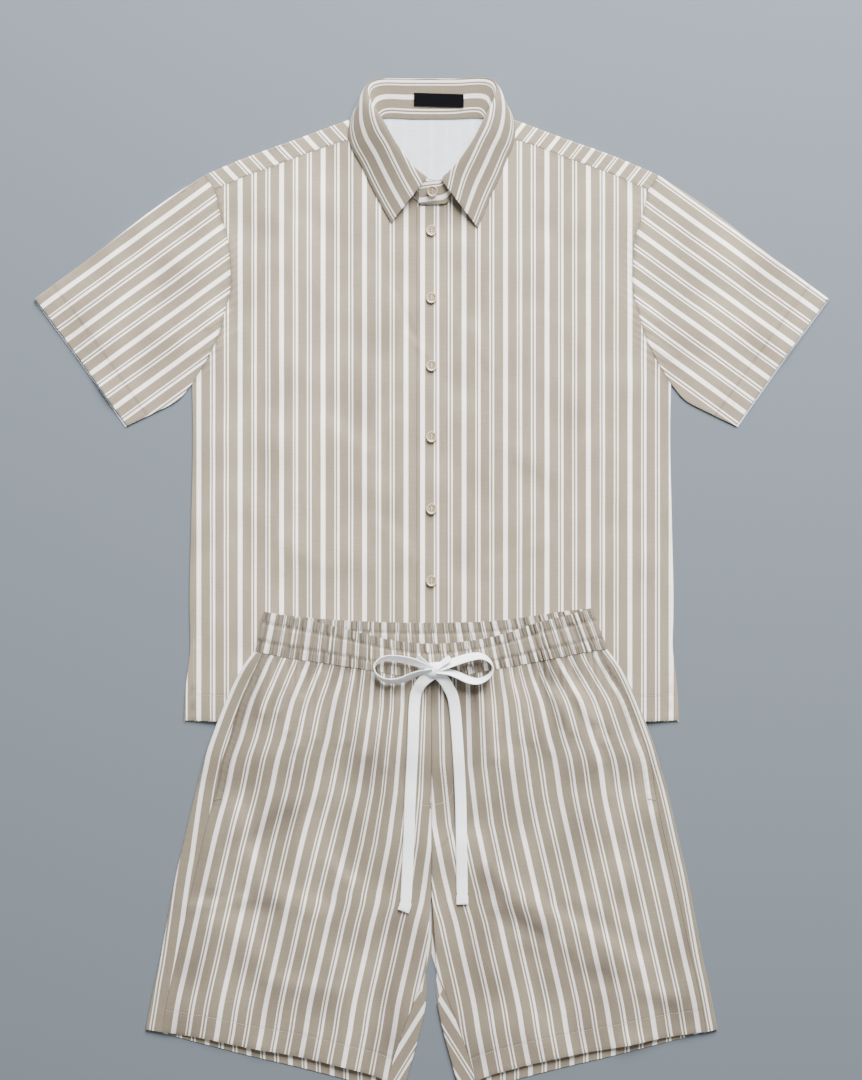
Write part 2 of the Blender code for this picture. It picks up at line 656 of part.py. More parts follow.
def edge_y(points, x):
    """Where a band edge crosses one place along the band."""
    line = sampled(points, 60)
    for a, b in zip(line, line[1:]):
        if a.x <= x <= b.x:
            return a.y + (b.y - a.y) * (x - a.x) / (b.x - a.x)
    return line[0].y if x < line[0].x else line[-1].y


def below_band(points, side, reach, count):
    """Upper edge of one leg, a hair below the band, from its outer end to the centre line."""
    spots = [reach * (1 - n / count) for n in range(count + 1)]
    return [Vector((x, edge_y(points, side * x) - INSET)) for x in spots]


def leg_seam(side, shares):
    """Side seam of one leg, which lies a little further out on one side than on the other."""
    line = spline(SHORTS_SEAM, shares)
    shift = SEAM_SHIFT[side]
    result = [Vector((p.x + shift * ease((line[0].y - p.y) / SEAM_SHIFT_REACH), p.y)) for p in line]
    result[0].y = edge_y(BAND_FRONT_BASE, side * result[0].x) - INSET
    return result


def inner_front():
    """Inner edge of a front leg: centre seam, inner leg and inseam."""
    centre = [Vector((0, CENTRE_TOP_Y + (CROTCH_Y - CENTRE_TOP_Y) * f)) for f in even(7)]
    return centre + sampled(INNER_LEG, 3)[1:] + sampled(INSEAM, 5)[1:]


def make_shorts_front(name, side):
    """Front leg from the band to the hem, between the side seam and the inner edge."""
    inner = inner_front()
    shares = spread(inner, 1)
    outer = leg_seam(side, shares)
    columns = 12
    top = mirrored(below_band(BAND_FRONT_BASE, side, outer[0].x, columns), side)
    hem = mirrored(spline(FRONT_HEM, even(columns)), side)
    hem[0] = Vector((side * outer[-1].x, outer[-1].y))
    outer = mirrored(outer, side)
    outer[0] = top[0]
    plan = inset(patch(top, hem, outer, mirrored(inner, side)), INSET)
    cloth(name, raised(plan, shorts_over), CLOTH)


def make_shorts_back(name, side):
    """Back leg. It lies below, and wraps over the outer edge and the inner leg to its seams."""
    inner = inner_front()
    shares = spread(inner, 1)
    rows = len(inner)
    seam = leg_seam(side, shares)
    outer = spline(SHORTS_OUTER, shares)
    turn = [p for p in inner if p.y > BACK_CROTCH_Y]
    fold = [Vector((0, p.y)) for p in turn]
    fold += spline(INNER_FOLD, even(rows - len(turn)))[1:]
    columns = 10
    top = below_band(BAND_BACK_BASE, side, outer[0].x, columns)
    hem = spline(BACK_HEM, even(columns))
    fold[0] = top[-1]
    fold[-1] = hem[-1]
    outer[0] = top[0]
    outer[-1] = hem[0]
    plan = inset(patch(top, hem, outer, fold), INSET)
    wrap_row = next(k for k, p in enumerate(inner) if p.y < WRAP_START_Y)
    grid = []
    for k in range(rows):
        under = [plan[i][k] for i in range(columns + 1)]
        edge = under[0]
        rim = seam[k] + (edge - seam[k]).normalized() * INSET
        high = shorts_over(edge.x, edge.y)
        line = [Vector((rim.x, rim.y, shorts_over(rim.x, rim.y)))]
        arc = fold_over(under[1], edge, seam[k], shorts_under(edge.x, edge.y), high)
        line += [Vector(p) for p in reversed(arc)]
        line += [Vector((p.x, p.y, shorts_under(p.x, p.y))) for p in under[1:-1]]
        last = under[-1]
        if k >= wrap_row:
            hitch = inner[k]
            rim = hitch + (last - hitch).normalized() * INSET * 2
            high = shorts_over(last.x, last.y)
            arc = fold_over(under[-2], last, hitch, shorts_under(last.x, last.y), high)
            line += [Vector(p) for p in arc]
            line += [Vector((rim.x, rim.y, shorts_over(rim.x, rim.y)))]
        else:
            line += [Vector((last.x, last.y, shorts_under(last.x, last.y)))] * (ARC_STEPS + 2)
        grid.append([Vector((side * p.x, p.y, p.z)) for p in line])
    flat_end = 1 + ARC_STEPS + 1 + columns - 1
    cloth(name, grid, LINING, keep=lambda i, j: j < flat_end or i >= wrap_row)


def cloth_top(x, y):
    """Upper face of whatever the drawstring lies on."""
    band_face = BAND_FRONT_HEIGHT + FRONT_GATHER * BAND_CREST + WALL / 2
    leg_face = shorts_over(x, y) + WALL / 2
    return leg_face + max(band_face - leg_face, 0.0) * ease((y + 125) / 15)


def ribbon(name, strands, paint):
    """Flat cord along its strands, tilted by each strand's roll."""
    rough = [Vector((s.x, s.y, s.lift, s.roll)) for s in strands]
    total = sum((b.xy - a.xy).length for a, b in zip(rough, rough[1:]))
    count = max(int(total / CORD_STEP), 6)
    path = spline([tuple(p) for p in rough], even(count))
    spots = []
    for p in path:
        lean = math.radians(p[3])
        reach = abs(math.cos(lean)) * CORD_WIDTH / 2
        stand = abs(math.sin(lean)) * CORD_WIDTH / 2
        floor = max(cloth_top(p.x + d, p.y) for d in (-reach, 0, reach))
        rest = floor + SEAM_GAP + CORD_WALL / 2 + stand + p.z * (1 - stand * 2 / CORD_WIDTH)
        spots.append(Vector((p.x, p.y, rest)))
    points = []
    half = CORD_WIDTH / 2
    thin = CORD_WALL / 2
    section = ((-half, 0), (-half + thin, -thin), (half - thin, -thin), (half, 0),
               (half - thin, thin), (-half + thin, thin))
    for k, spot in enumerate(spots):
        ahead = spots[min(k + 1, count)] - spots[max(k - 1, 0)]
        flat = Vector((ahead.x, ahead.y, 0)).normalized()
        aside = Vector((flat.y, -flat.x, 0))
        lean = math.radians(path[k][3])
        across = aside * math.cos(lean) + Vector((0, 0, 1)) * math.sin(lean)
        normal = ahead.normalized().cross(across).normalized()
        points += [spot + across * u + normal * v for u, v in section]
    size = len(section)
    faces = []
    for k in range(count):
        for n in range(size):
            m = (n + 1) % size
            faces.append((k * size + n, k * size + m, (k + 1) * size + m, (k + 1) * size + n))
    faces.append(tuple(reversed(range(size))))
    faces.append(tuple(count * size + n for n in range(size)))
    add_object(name, points, faces, paint)


def make_knot():
    """Rounded knot at the middle of the bow."""
    seat = cloth_top(*KNOT_CENTRE) + SEAM_GAP + KNOT_RADII[2]
    work = bmesh.new()
    bmesh.ops.create_uvsphere(work, u_segments=16, v_segments=8, radius=1.0)
    points = [(KNOT_CENTRE[0] + v.co.x * KNOT_RADII[0], KNOT_CENTRE[1] + v.co.y * KNOT_RADII[1],
               seat + v.co.z * KNOT_RADII[2]) for v in work.verts]
    faces = [tuple(v.index for v in face.verts) for face in work.faces]
    work.free()
    add_object("drawstring_knot", points, faces, CORD)


def clear_scene():
    for item in list(bpy.data.objects):
        bpy.data.objects.remove(item, do_unlink=True)


def main():
    clear_scene()
    make_shirt_back()
    make_shirt_yoke()
    make_shirt_front("shirt_front_left", -1, UNDERLAP_EDGE, under=True)
    make_shirt_front("shirt_front_right", 1, LAP_EDGE, under=False)
    make_sleeve("sleeve_left", -1)
    make_sleeve("sleeve_right", 1)
    make_collar_stand()
    make_collar_leaf()
    make_label()
    make_buttons()
    make_waistband()
    make_shorts_front("shorts_front_left", -1)
    make_shorts_front("shorts_front_right", 1)
    make_shorts_back("shorts_back_left", -1)
    make_shorts_back("shorts_back_right", 1)
    ribbon("drawstring_tail_left", TAIL_LEFT, CORD)
    ribbon("drawstring_tail_right", TAIL_RIGHT, CORD)
    ribbon("drawstring_loop_left", LOOP_LEFT, CORD)
    ribbon("drawstring_loop_right", LOOP_RIGHT, CORD)
    make_knot()


main()
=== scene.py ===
# %% [markdown]
# A striped shirt and its gathered shorts, laid flat on a pale surface and seen from straight above.
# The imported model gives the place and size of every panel. This script dresses it: each panel
# gets a fine cloth skin with its creases, gathers, stitches and woven stripes.
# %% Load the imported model
import math

import bmesh
import bpy
import numpy as np
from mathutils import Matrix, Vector


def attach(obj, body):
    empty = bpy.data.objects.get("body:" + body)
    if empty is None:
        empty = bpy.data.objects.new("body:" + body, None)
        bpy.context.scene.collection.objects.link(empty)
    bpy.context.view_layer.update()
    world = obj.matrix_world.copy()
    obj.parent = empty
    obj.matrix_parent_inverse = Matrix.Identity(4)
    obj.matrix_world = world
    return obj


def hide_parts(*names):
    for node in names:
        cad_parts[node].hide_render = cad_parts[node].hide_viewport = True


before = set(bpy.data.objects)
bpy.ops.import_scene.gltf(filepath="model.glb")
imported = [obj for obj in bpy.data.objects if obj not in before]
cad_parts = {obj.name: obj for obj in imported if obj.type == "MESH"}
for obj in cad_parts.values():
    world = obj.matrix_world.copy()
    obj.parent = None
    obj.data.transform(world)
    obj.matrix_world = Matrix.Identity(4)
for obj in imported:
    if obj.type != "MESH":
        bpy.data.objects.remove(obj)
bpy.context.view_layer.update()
print("packed nodes:", len(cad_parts))

# %% [markdown]
# All tables below are in millimetres, measured from a point near the waist, with x to the right and
# y towards the collar. The model's own origin is the middle of the laid set, a little lower, so
# every point is shifted once, when its mesh is made. The camera hangs two metres above the set and
# looks straight down. Its lens follows from the photo's scale, which is the millimetres that one
# pixel of the photo covers on the floor.
# %% Units and the camera's place
MM = 0.001
ORIGIN_SHIFT = np.array([0.0, 2.05, 0.0])
PHOTO_HEIGHT = 1080
PHOTO_SCALE = 1.17
CAMERA_HEIGHT = 2.0
CAMERA_X = -0.0006
CAMERA_Y = (53.8 + ORIGIN_SHIFT[1]) * MM
SENSOR = 36.0

camera_data = bpy.data.cameras.new("camera")
camera_data.sensor_width = SENSOR
camera_data.lens = SENSOR * CAMERA_HEIGHT / (PHOTO_HEIGHT * PHOTO_SCALE * MM)
camera = bpy.data.objects.new("camera", camera_data)
camera.location = (CAMERA_X, CAMERA_Y, CAMERA_HEIGHT)
bpy.context.scene.collection.objects.link(camera)
bpy.context.scene.camera = camera
print("lens %.1f mm" % camera_data.lens)

# %% [markdown]
# The light is soft and comes mostly from beyond the collar, as from a large window. A wide area
# lamp gives the long soft shadows below each edge, a weaker one fills them, and the sky is pale.
# %% Lights and sky
SKY_COLOUR = (0.86, 0.90, 0.94, 1)
SKY_STRENGTH = 0.22


def add_lamp(name, place, aim, size, power):
    data = bpy.data.lights.new(name, "AREA")
    data.shape = "DISK"
    data.size = size
    data.energy = power
    lamp = bpy.data.objects.new(name, data)
    lamp.location = place
    turn = Vector(aim) - Vector(place)
    lamp.rotation_euler = turn.to_track_quat("-Z", "Y").to_euler()
    bpy.context.scene.collection.objects.link(lamp)
    return lamp


add_lamp("window_light", (0.7, 2.7, 1.9), (0, 0.1, 0), 2.4, 590)
add_lamp("room_fill", (-0.6, -1.0, 3.2), (0, 0, 0), 2.4, 30)

world = bpy.data.worlds.new("room")
world.use_nodes = True
sky = world.node_tree.nodes["Background"]
sky.inputs["Color"].default_value = SKY_COLOUR
sky.inputs["Strength"].default_value = SKY_STRENGTH
bpy.context.scene.world = world
print("lamps:", [lamp.name for lamp in bpy.data.lights])

# %% [markdown]
# The floor is one plain matt square, wide enough to fill the view.
# %% Floor
FLOOR_HALF = 3.0
FLOOR_COLOUR = (0.110, 0.130, 0.150, 1)


def floor_material():
    material = bpy.data.materials.new("pale_floor")
    material.use_nodes = True
    shader = material.node_tree.nodes["Principled BSDF"]
    shader.inputs["Base Color"].default_value = FLOOR_COLOUR
    shader.inputs["Roughness"].default_value = 0.9
    return material


floor_mesh = bpy.data.meshes.new("floor")
floor_corners = [(x * FLOOR_HALF, y * FLOOR_HALF, 0)
                 for x, y in ((-1, -1), (1, -1), (1, 1), (-1, 1))]
floor_mesh.from_pydata(floor_corners, [], [(0, 1, 2, 3)])
floor_mesh.materials.append(floor_material())
floor = bpy.data.objects.new("floor", floor_mesh)
bpy.context.scene.collection.objects.link(floor)
print("floor: %.0f m square" % (2 * FLOOR_HALF))

# %% [markdown]
# Two small helpers shape a value. One goes smoothly from nothing to one, for a step or a fade. The
# other is one on a line and fades on both sides of it, as a seam's shadow does. They take whole
# arrays at once, which keeps fine cloth quick to make.
# %% Two ways to fade
def ease(value):
    value = np.clip(value, 0.0, 1.0)
    return value * value * (3 - 2 * value)


def bell(distance, width):
    return np.exp(-(distance / width) ** 2)


print("at a quarter, ease gives %.2f and bell %.2f" % (ease(0.25), bell(0.25, 1.0)))

# %% [markdown]
# Every seam is a curve that runs smoothly through the points of a short table. A few points are
# enough for a long seam, and they are easy to read from the photo and to change.
# %% Smooth curves
CURVE_FINENESS = 12


def with_ends(points):
    """The points, with one more before the first and one after the last, straight on."""
    p = np.array(points, float)
    return np.vstack([2 * p[0] - p[1], p, 2 * p[-1] - p[-2]])


def between(four, t):
    """Smooth way from the second point to the third, from 0 to 1."""
    a, b, c, d = four
    return 0.5 * (2 * b + (c - a) * t + (2 * a - 5 * b + 4 * c - d) * t * t
                  + (3 * b - a - 3 * c + d) * t ** 3)


def curve(points, fractions):
    """Smooth curve through the points, read at fractions of its length."""
    p = with_ends(points)
    fine = [p[1]]
    for k in range(1, len(p) - 2):
        for t in np.linspace(0, 1, CURVE_FINENESS + 1)[1:]:
            fine.append(between(p[k - 1:k + 3], t))
    fine = np.array(fine)
    run = np.concatenate([[0], np.cumsum(np.linalg.norm(np.diff(fine, axis=0), axis=1))])
    goal = np.array(fractions) * run[-1]
    return np.stack([np.interp(goal, run, fine[:, k]) for k in range(fine.shape[1])], axis=1)


def sampled(points, count):
    return curve(points, np.linspace(0, 1, count + 1))


def flip(points, side):
    """The same points on the other side of the middle line, where side is -1."""
    result = np.array(points, float)
    result[..., 0] *= side
    return result


def spread(points, axis):
    """Where each point is along one axis, as a share from the first to the last."""
    return (points[:, axis] - points[0, axis]) / (points[-1, axis] - points[0, axis])


def lerp(a, b, share):
    share = np.asarray(share)[..., None]
    return np.asarray(a, float) * (1 - share) + np.asarray(b, float) * share


# %% [markdown]
# A panel is drawn by its four edges, as a pattern cutter draws it. A patch fills the space between
# them with a grid, so a seam's points lie where its neighbour's do. Sewn panels would then touch,
# so each rim is drawn in by a hair.
# %% Patches between four edges
def patch(bottom, top, left, right):
    """Grid of plan points inside four edges."""
    s = np.linspace(0, 1, len(bottom))[:, None, None]
    t = np.linspace(0, 1, len(left))[None, :, None]
    across = bottom[:, None] * (1 - t) + top[:, None] * t
    along = left[None] * (1 - s) + right[None] * s
    corners = ((bottom[0] * (1 - s) + bottom[-1] * s) * (1 - t)
               + (top[0] * (1 - s) + top[-1] * s) * t)
    return across + along - corners


RIM_PULL = 0.2


def pull_in(grid, amount=RIM_PULL):
    """Draw the rim of a grid in by a hair, so that sewn panels don't touch."""
    n, m = grid.shape[:2]
    i = np.clip(np.arange(n), 1, n - 2)
    j = np.clip(np.arange(m), 1, m - 2)
    step = grid[np.ix_(i, j)] - grid
    size = np.linalg.norm(step, axis=2, keepdims=True)
    return grid + np.where(size > 1e-6, step / np.maximum(size, 1e-6), 0) * amount


print("rims drawn in by", RIM_PULL, "mm")

# %% [markdown]
# Cloth that lies flat has no deep folds. It has soft ridges and troughs, each one long, shallow and
# uneven. A fold here is a line on the ground with a width and a height, and it fades at its ends.
# %% Folds as soft ridges on the ground
FOLD_TIGHTNESS = 2.2


def line_distance(x, y, line):
    best = np.full(np.shape(x), 1e9)
    for a, b in zip(line, line[1:]):
        dx, dy = b[0] - a[0], b[1] - a[1]
        t = np.clip(((x - a[0]) * dx + (y - a[1]) * dy) / (dx * dx + dy * dy), 0, 1)
        best = np.minimum(best, np.hypot(x - a[0] - t * dx, y - a[1] - t * dy))
    return best


def fold_relief(x, y, folds):
    """Height that the folds add. Each row is x0, y0, x1, y1, width, height and bow."""
    total = np.zeros(np.shape(x))
    for x0, y0, x1, y1, width, height, bow in folds:
        dx, dy = x1 - x0, y1 - y0
        length = math.hypot(dx, dy)
        along = ((x - x0) * dx + (y - y0) * dy) / length
        aside = ((x - x0) * dy - (y - y0) * dx) / length
        aside = aside - bow * np.sin(np.clip(along / length, 0, 1) * math.pi)
        fade = ease(along / width + 0.5) * ease((length - along) / width + 0.5)
        total += height * fade * np.exp(-(FOLD_TIGHTNESS * aside / width) ** 2)
    return total


# %% [markdown]
# The tables are in millimetres and Blender works in metres. One helper turns points and faces into
# a mesh object, and keeps it by name for the last step. Faces are smooth, with sharp rims.
# %% A mesh from points in millimetres
SHARP_ANGLE = 55
pieces = {}


def add_mesh(name, points, faces, material, smooth=True):
    mesh = bpy.data.meshes.new(name)
    mesh.from_pydata((np.array(points) + ORIGIN_SHIFT) * MM, [], faces)
    mesh.materials.append(material)
    if smooth:
        mesh.shade_smooth()
        mesh.set_sharp_from_angle(angle=math.radians(SHARP_ANGLE))
    item = bpy.data.objects.new(name, mesh)
    bpy.context.scene.collection.objects.link(item)
    pieces[name] = item
    return item


# %% [markdown]
# Each panel becomes one closed skin. Its outer face lies on the imported solid's face, its inner face
# is a thread's width below, and a rim joins them. The rim dips a little, as a sewn edge does, so
# every seam shows as a fine groove. The UV map holds millimetres across and along the stripes. A
# second layer, named hollow, holds painted shade: how much light each point loses in a crease, at a
# stitch line or under another part. Where it is below zero, it paints a little light on a ridge.
# %% A closed skin of cloth
WALL_HALF = 0.5
SKIN_DEPTH = 0.75
RIM_DIP = 0.35


def add_cloth(name, grid, uv, material, keep=None, loop=False, inner=None, outer=WALL_HALF,
              depth=SKIN_DEPTH, dip=RIM_DIP, tone=None):
    """Closed skin from a grid of middle points. The grid's own turn says which face is outside."""
    n, m = grid.shape[:2]
    i, j = np.meshgrid(np.arange(n if loop else n - 1), np.arange(m - 1), indexing="ij")
    if keep is not None:
        i, j = i[keep], j[keep]
    i, j = i.ravel(), j.ravel()
    # The four corners of each small square: quads number the points, and cells number the UV grid,
    # which has one more column where a ring of cloth closes.
    k = (i + 1) % n
    quads = np.stack([i * m + j, k * m + j, k * m + j + 1, i * m + j + 1], axis=1)
    cells = np.stack([i * m + j, (i + 1) * m + j, (i + 1) * m + j + 1, i * m + j + 1], axis=1)
    points = grid.reshape(-1, 3)
    normal = np.cross(points[quads[:, 2]] - points[quads[:, 0]],
                      points[quads[:, 3]] - points[quads[:, 1]])
    normals = np.zeros_like(points)
    for c in range(4):
        np.add.at(normals, quads[:, c], normal)
    normals /= np.maximum(np.linalg.norm(normals, axis=1, keepdims=True), 1e-12)
    # An edge that no neighbour runs the other way is on the rim
    starts = np.concatenate([quads[:, c] for c in range(4)])
    ends = np.concatenate([quads[:, (c + 1) % 4] for c in range(4)])
    start_cells = np.concatenate([cells[:, c] for c in range(4)])
    end_cells = np.concatenate([cells[:, (c + 1) % 4] for c in range(4)])
    total = len(points)
    forward = starts.astype(np.int64) * total + ends
    backward = ends.astype(np.int64) * total + starts
    rim = ~np.isin(forward, backward)
    on_rim = np.zeros(total, bool)
    on_rim[starts[rim]] = True
    on_rim[ends[rim]] = True
    # The outer face, then the inner face turned over, then the rim between them
    lift = np.where(on_rim, outer - dip, outer)[:, None]
    used = np.unique(quads)
    order = np.full(total, -1)
    order[used] = np.arange(len(used))
    upper = points[used] + normals[used] * lift[used]
    lower = points[used] + normals[used] * (outer - depth)
    size = len(used)
    top_faces = order[quads]
    low_faces = order[quads][:, ::-1] + size
    rim_faces = np.stack([order[ends[rim]], order[starts[rim]], order[starts[rim]] + size,
                          order[ends[rim]] + size], axis=1)
    faces = np.vstack([top_faces, low_faces, rim_faces])
    item = add_mesh(name, np.vstack([upper, lower]), faces.tolist(), material)
    rim_cells = np.stack([end_cells[rim], start_cells[rim],
                          start_cells[rim], end_cells[rim]], axis=1)
    flat_uv = uv.reshape(-1, 2)
    corner_uv = np.vstack([flat_uv[corners].reshape(-1, 2)
                           for corners in (cells, cells[:, ::-1], rim_cells)])
    layer = item.data.uv_layers.new(name="cloth_mm")
    layer.data.foreach_set("uv", corner_uv.astype(np.float32).ravel())
    if tone is not None:
        shade = item.data.attributes.new("hollow", "FLOAT", "POINT")
        values = tone.reshape(-1)[used]
        shade.data.foreach_set("value", np.concatenate([values, values]).astype(np.float32))
    if inner is not None:
        item.data.materials.append(inner)
        slots = np.zeros(len(faces), np.int32)
        slots[len(quads):2 * len(quads)] = 1
        item.data.polygons.foreach_set("material_index", slots)
    print("%-22s %6d faces" % (name, len(faces)))
    return item


# %% [markdown]
# A shader is a small net of nodes. These helpers add one node each and join it up: a sum, a colour
# made darker or lighter, a bump, and noise drawn out along one way, as uneven yarn is.
# %% Shader helpers
def add_math(tree, operation, a, b=None, c=None, clamp=False):
    node = tree.nodes.new("ShaderNodeMath")
    node.operation = operation
    node.use_clamp = clamp
    for socket, value in zip(node.inputs, (a, b, c)):
        if value is None:
            continue
        if isinstance(value, (int, float)):
            socket.default_value = value
        else:
            tree.links.new(value, socket)
    return node.outputs[0]


def scale_colour(tree, colour, share):
    node = tree.nodes.new("ShaderNodeVectorMath")
    node.operation = "SCALE"
    tree.links.new(colour, node.inputs[0])
    tree.links.new(share, node.inputs["Scale"])
    return node.outputs[0]


def add_bump(tree, height, strength, distance):
    node = tree.nodes.new("ShaderNodeBump")
    node.inputs["Strength"].default_value = strength
    node.inputs["Distance"].default_value = distance
    tree.links.new(height, node.inputs["Height"])
    tree.links.new(node.outputs["Normal"], tree.nodes["Principled BSDF"].inputs["Normal"])


def yarn_noise(tree, across, along):
    place = tree.nodes.new("ShaderNodeCombineXYZ")
    tree.links.new(across, place.inputs["X"])
    tree.links.new(along, place.inputs["Y"])
    noise = tree.nodes.new("ShaderNodeTexNoise")
    noise.inputs["Scale"].default_value = 1.0
    noise.inputs["Detail"].default_value = 3.0
    tree.links.new(place.outputs[0], noise.inputs["Vector"])
    return noise.outputs["Fac"]


def new_group(name, inputs, outputs):
    group = bpy.data.node_groups.new(name, "ShaderNodeTree")
    for title, kind, value in inputs:
        socket = group.interface.new_socket(title, in_out="INPUT", socket_type=kind)
        if value is not None:
            socket.default_value = value
    for title, kind in outputs:
        group.interface.new_socket(title, in_out="OUTPUT", socket_type=kind)
    return group, group.nodes.new("NodeGroupInput"), group.nodes.new("NodeGroupOutput")


# %% [markdown]
# The cloth is a plain weave with white stripes in a fixed repeat: one wide, a thin beside a medium,
# and two thin. One shader group draws that repeat from the UV map, in millimetres, with the yarns'
# small unevenness and the relief of the weave. Every striped material uses the same group.
# %% The woven stripe group
STRIPE_REPEAT = 48.4
# Centre and width of each white line in one repeat
STRIPES = ((0.0, 5.4), (14.0, 1.35), (17.9, 2.7), (30.4, 1.5), (34.2, 1.7))
STRIPE_EDGE = 0.5
YARN_UNEVENNESS = 0.34
WARP_WIDTH = 0.55
WEFT_WIDTH = 0.6


def woven_stripes_group():
    group, source, result = new_group(
        "woven_stripes",
        (("Across", "NodeSocketFloat", 0.0), ("Along", "NodeSocketFloat", 0.0),
         ("Ground", "NodeSocketColor", (0.5, 0.45, 0.4, 1)),
         ("Stripe", "NodeSocketColor", (0.8, 0.8, 0.78, 1)),
         ("Contrast", "NodeSocketFloat", 1.0)),
        (("Color", "NodeSocketColor"), ("Height", "NodeSocketFloat"), ("White", "NodeSocketFloat")))
    across = source.outputs["Across"]
    along = source.outputs["Along"]
    above_zero = add_math(group, "ADD", across, STRIPE_REPEAT * 40)
    share = add_math(group, "MODULO", above_zero, STRIPE_REPEAT)
    total = None
    for centre, width in STRIPES:
        off = add_math(group, "ABSOLUTE", add_math(group, "SUBTRACT", share, centre))
        near = add_math(group, "MINIMUM", off, add_math(group, "SUBTRACT", STRIPE_REPEAT, off))
        line = add_math(group, "SUBTRACT", width / 2 + STRIPE_EDGE / 2, near)
        line = add_math(group, "DIVIDE", line, STRIPE_EDGE, clamp=True)
        total = line if total is None else add_math(group, "MAXIMUM", total, line)
    white = add_math(group, "MULTIPLY", total, source.outputs["Contrast"])

    warp = yarn_noise(group, add_math(group, "MULTIPLY", across, 1.1),
                      add_math(group, "MULTIPLY", along, 0.05))
    weft = yarn_noise(group, add_math(group, "MULTIPLY", across, 0.06),
                      add_math(group, "MULTIPLY", along, 0.9))
    yarns = add_math(group, "ADD", warp, weft)
    tone = add_math(group, "MULTIPLY_ADD", yarns, YARN_UNEVENNESS, 1 - YARN_UNEVENNESS)

    mix = group.nodes.new("ShaderNodeMix")
    mix.data_type = "RGBA"
    group.links.new(white, mix.inputs["Factor"])
    group.links.new(source.outputs["Ground"], mix.inputs["A"])
    group.links.new(source.outputs["Stripe"], mix.inputs["B"])
    group.links.new(scale_colour(group, mix.outputs["Result"], tone), result.inputs["Color"])

    over = add_math(group, "SINE", add_math(group, "MULTIPLY", across, math.pi / WARP_WIDTH))
    under = add_math(group, "SINE", add_math(group, "MULTIPLY", along, math.pi / WEFT_WIDTH))
    weave = add_math(group, "MULTIPLY", over, under)
    height = add_math(group, "ADD", add_math(group, "MULTIPLY", weave, 0.35),
                      add_math(group, "ADD", yarns, add_math(group, "MULTIPLY", white, 0.6)))
    group.links.new(height, result.inputs["Height"])
    group.links.new(white, result.inputs["White"])
    return group


WOVEN = woven_stripes_group()
print("stripe repeat", STRIPE_REPEAT, "mm with", len(STRIPES), "white lines")

# %% [markdown]
# Matt cotton reflects softly and has a little sheen from its loose fibres. The wrong side is paler
# and its stripes are faint, since the pattern is woven to show on the right side.
# %% Striped cotton
def striped_cloth(name, ground, stripe, contrast=1.0, bump=0.35):
    """Matt striped cotton. Colours are linear."""
    material = bpy.data.materials.new(name)
    material.use_nodes = True
    tree = material.node_tree
    shader = tree.nodes["Principled BSDF"]
    shader.inputs["Sheen Weight"].default_value = 0.25
    shader.inputs["Sheen Roughness"].default_value = 0.5
    shader.inputs["Specular IOR Level"].default_value = 0.25
    shader.inputs["Roughness"].default_value = 0.85
    uv = tree.nodes.new("ShaderNodeUVMap")
    uv.uv_map = "cloth_mm"
    parts = tree.nodes.new("ShaderNodeSeparateXYZ")
    tree.links.new(uv.outputs["UV"], parts.inputs["Vector"])
    group = tree.nodes.new("ShaderNodeGroup")
    group.node_tree = WOVEN
    tree.links.new(parts.outputs["X"], group.inputs["Across"])
    tree.links.new(parts.outputs["Y"], group.inputs["Along"])
    group.inputs["Ground"].default_value = (*ground, 1)
    group.inputs["Stripe"].default_value = (*stripe, 1)
    group.inputs["Contrast"].default_value = contrast
    # Painted shade: the colour is darkened by the hollow layer's share, and lightened where it is
    # below zero
    hollow = tree.nodes.new("ShaderNodeAttribute")
    hollow.attribute_name = "hollow"
    left = add_math(tree, "SUBTRACT", 1.0, hollow.outputs["Fac"])
    colour = scale_colour(tree, group.outputs["Color"], left)
    tree.links.new(colour, shader.inputs["Base Color"])
    add_bump(tree, group.outputs["Height"], bump, 0.0002)
    return material


GROUND = (0.243, 0.199, 0.144)
WHITE_STRIPE = (0.96, 0.925, 0.85)
SHIRT_CLOTH = striped_cloth("shirt_cloth", GROUND, WHITE_STRIPE)
SHIRT_LINING = striped_cloth("shirt_wrong_side", (0.55, 0.575, 0.62), (0.645, 0.665, 0.70),
                             contrast=0.5)
print("cloth materials:", SHIRT_CLOTH.name, SHIRT_LINING.name)

# %% [markdown]
# The shirt's seams are short tables of points, read from the photo for its right half. The left
# half is the same, mirrored.
# %% Shirt outline
SHOULDER = ((265, 480), (218, 500), (152, 524), (98, 544), (67, 555))
BACK_NECK = ((67, 555), (37, 549), (0, 547.5), (-37, 549), (-67, 555))
YOKE_SEAM = ((253, 463), (221, 477), (192, 488), (154, 502), (130, 511), (98, 521), (70, 524))
NECK_LINE = ((70, 524), (60, 510), (49, 493), (36, 474), (22, 456), (10, 446))
NECK_END_Y = 443
ARM_UPPER = ((265, 480), (259, 471), (253, 463))
ARM_LOWER = ((253, 463), (246, 432), (238, 406), (235, 373), (235, 346), (241, 321),
             (249, 293), (261, 267), (272, 249), (280, 236))
SIDE_SEAM = ((289, -157), (288, -128), (285, -98), (282, -70), (283, -16), (281, 77),
             (279, 171), (280, 236))
HEM_MIDDLE_Y = -163
SLEEVE_TOP = ((265, 480), (321, 443), (381, 397), (463, 336))
SLEEVE_HEM = ((463, 336), (408, 261), (356, 187))
SLEEVE_LOWER = ((280, 236), (297, 217), (323, 203), (356, 187))
print("shirt: %d mm from hem to throat" % (NECK_END_Y - HEM_MIDDLE_Y))

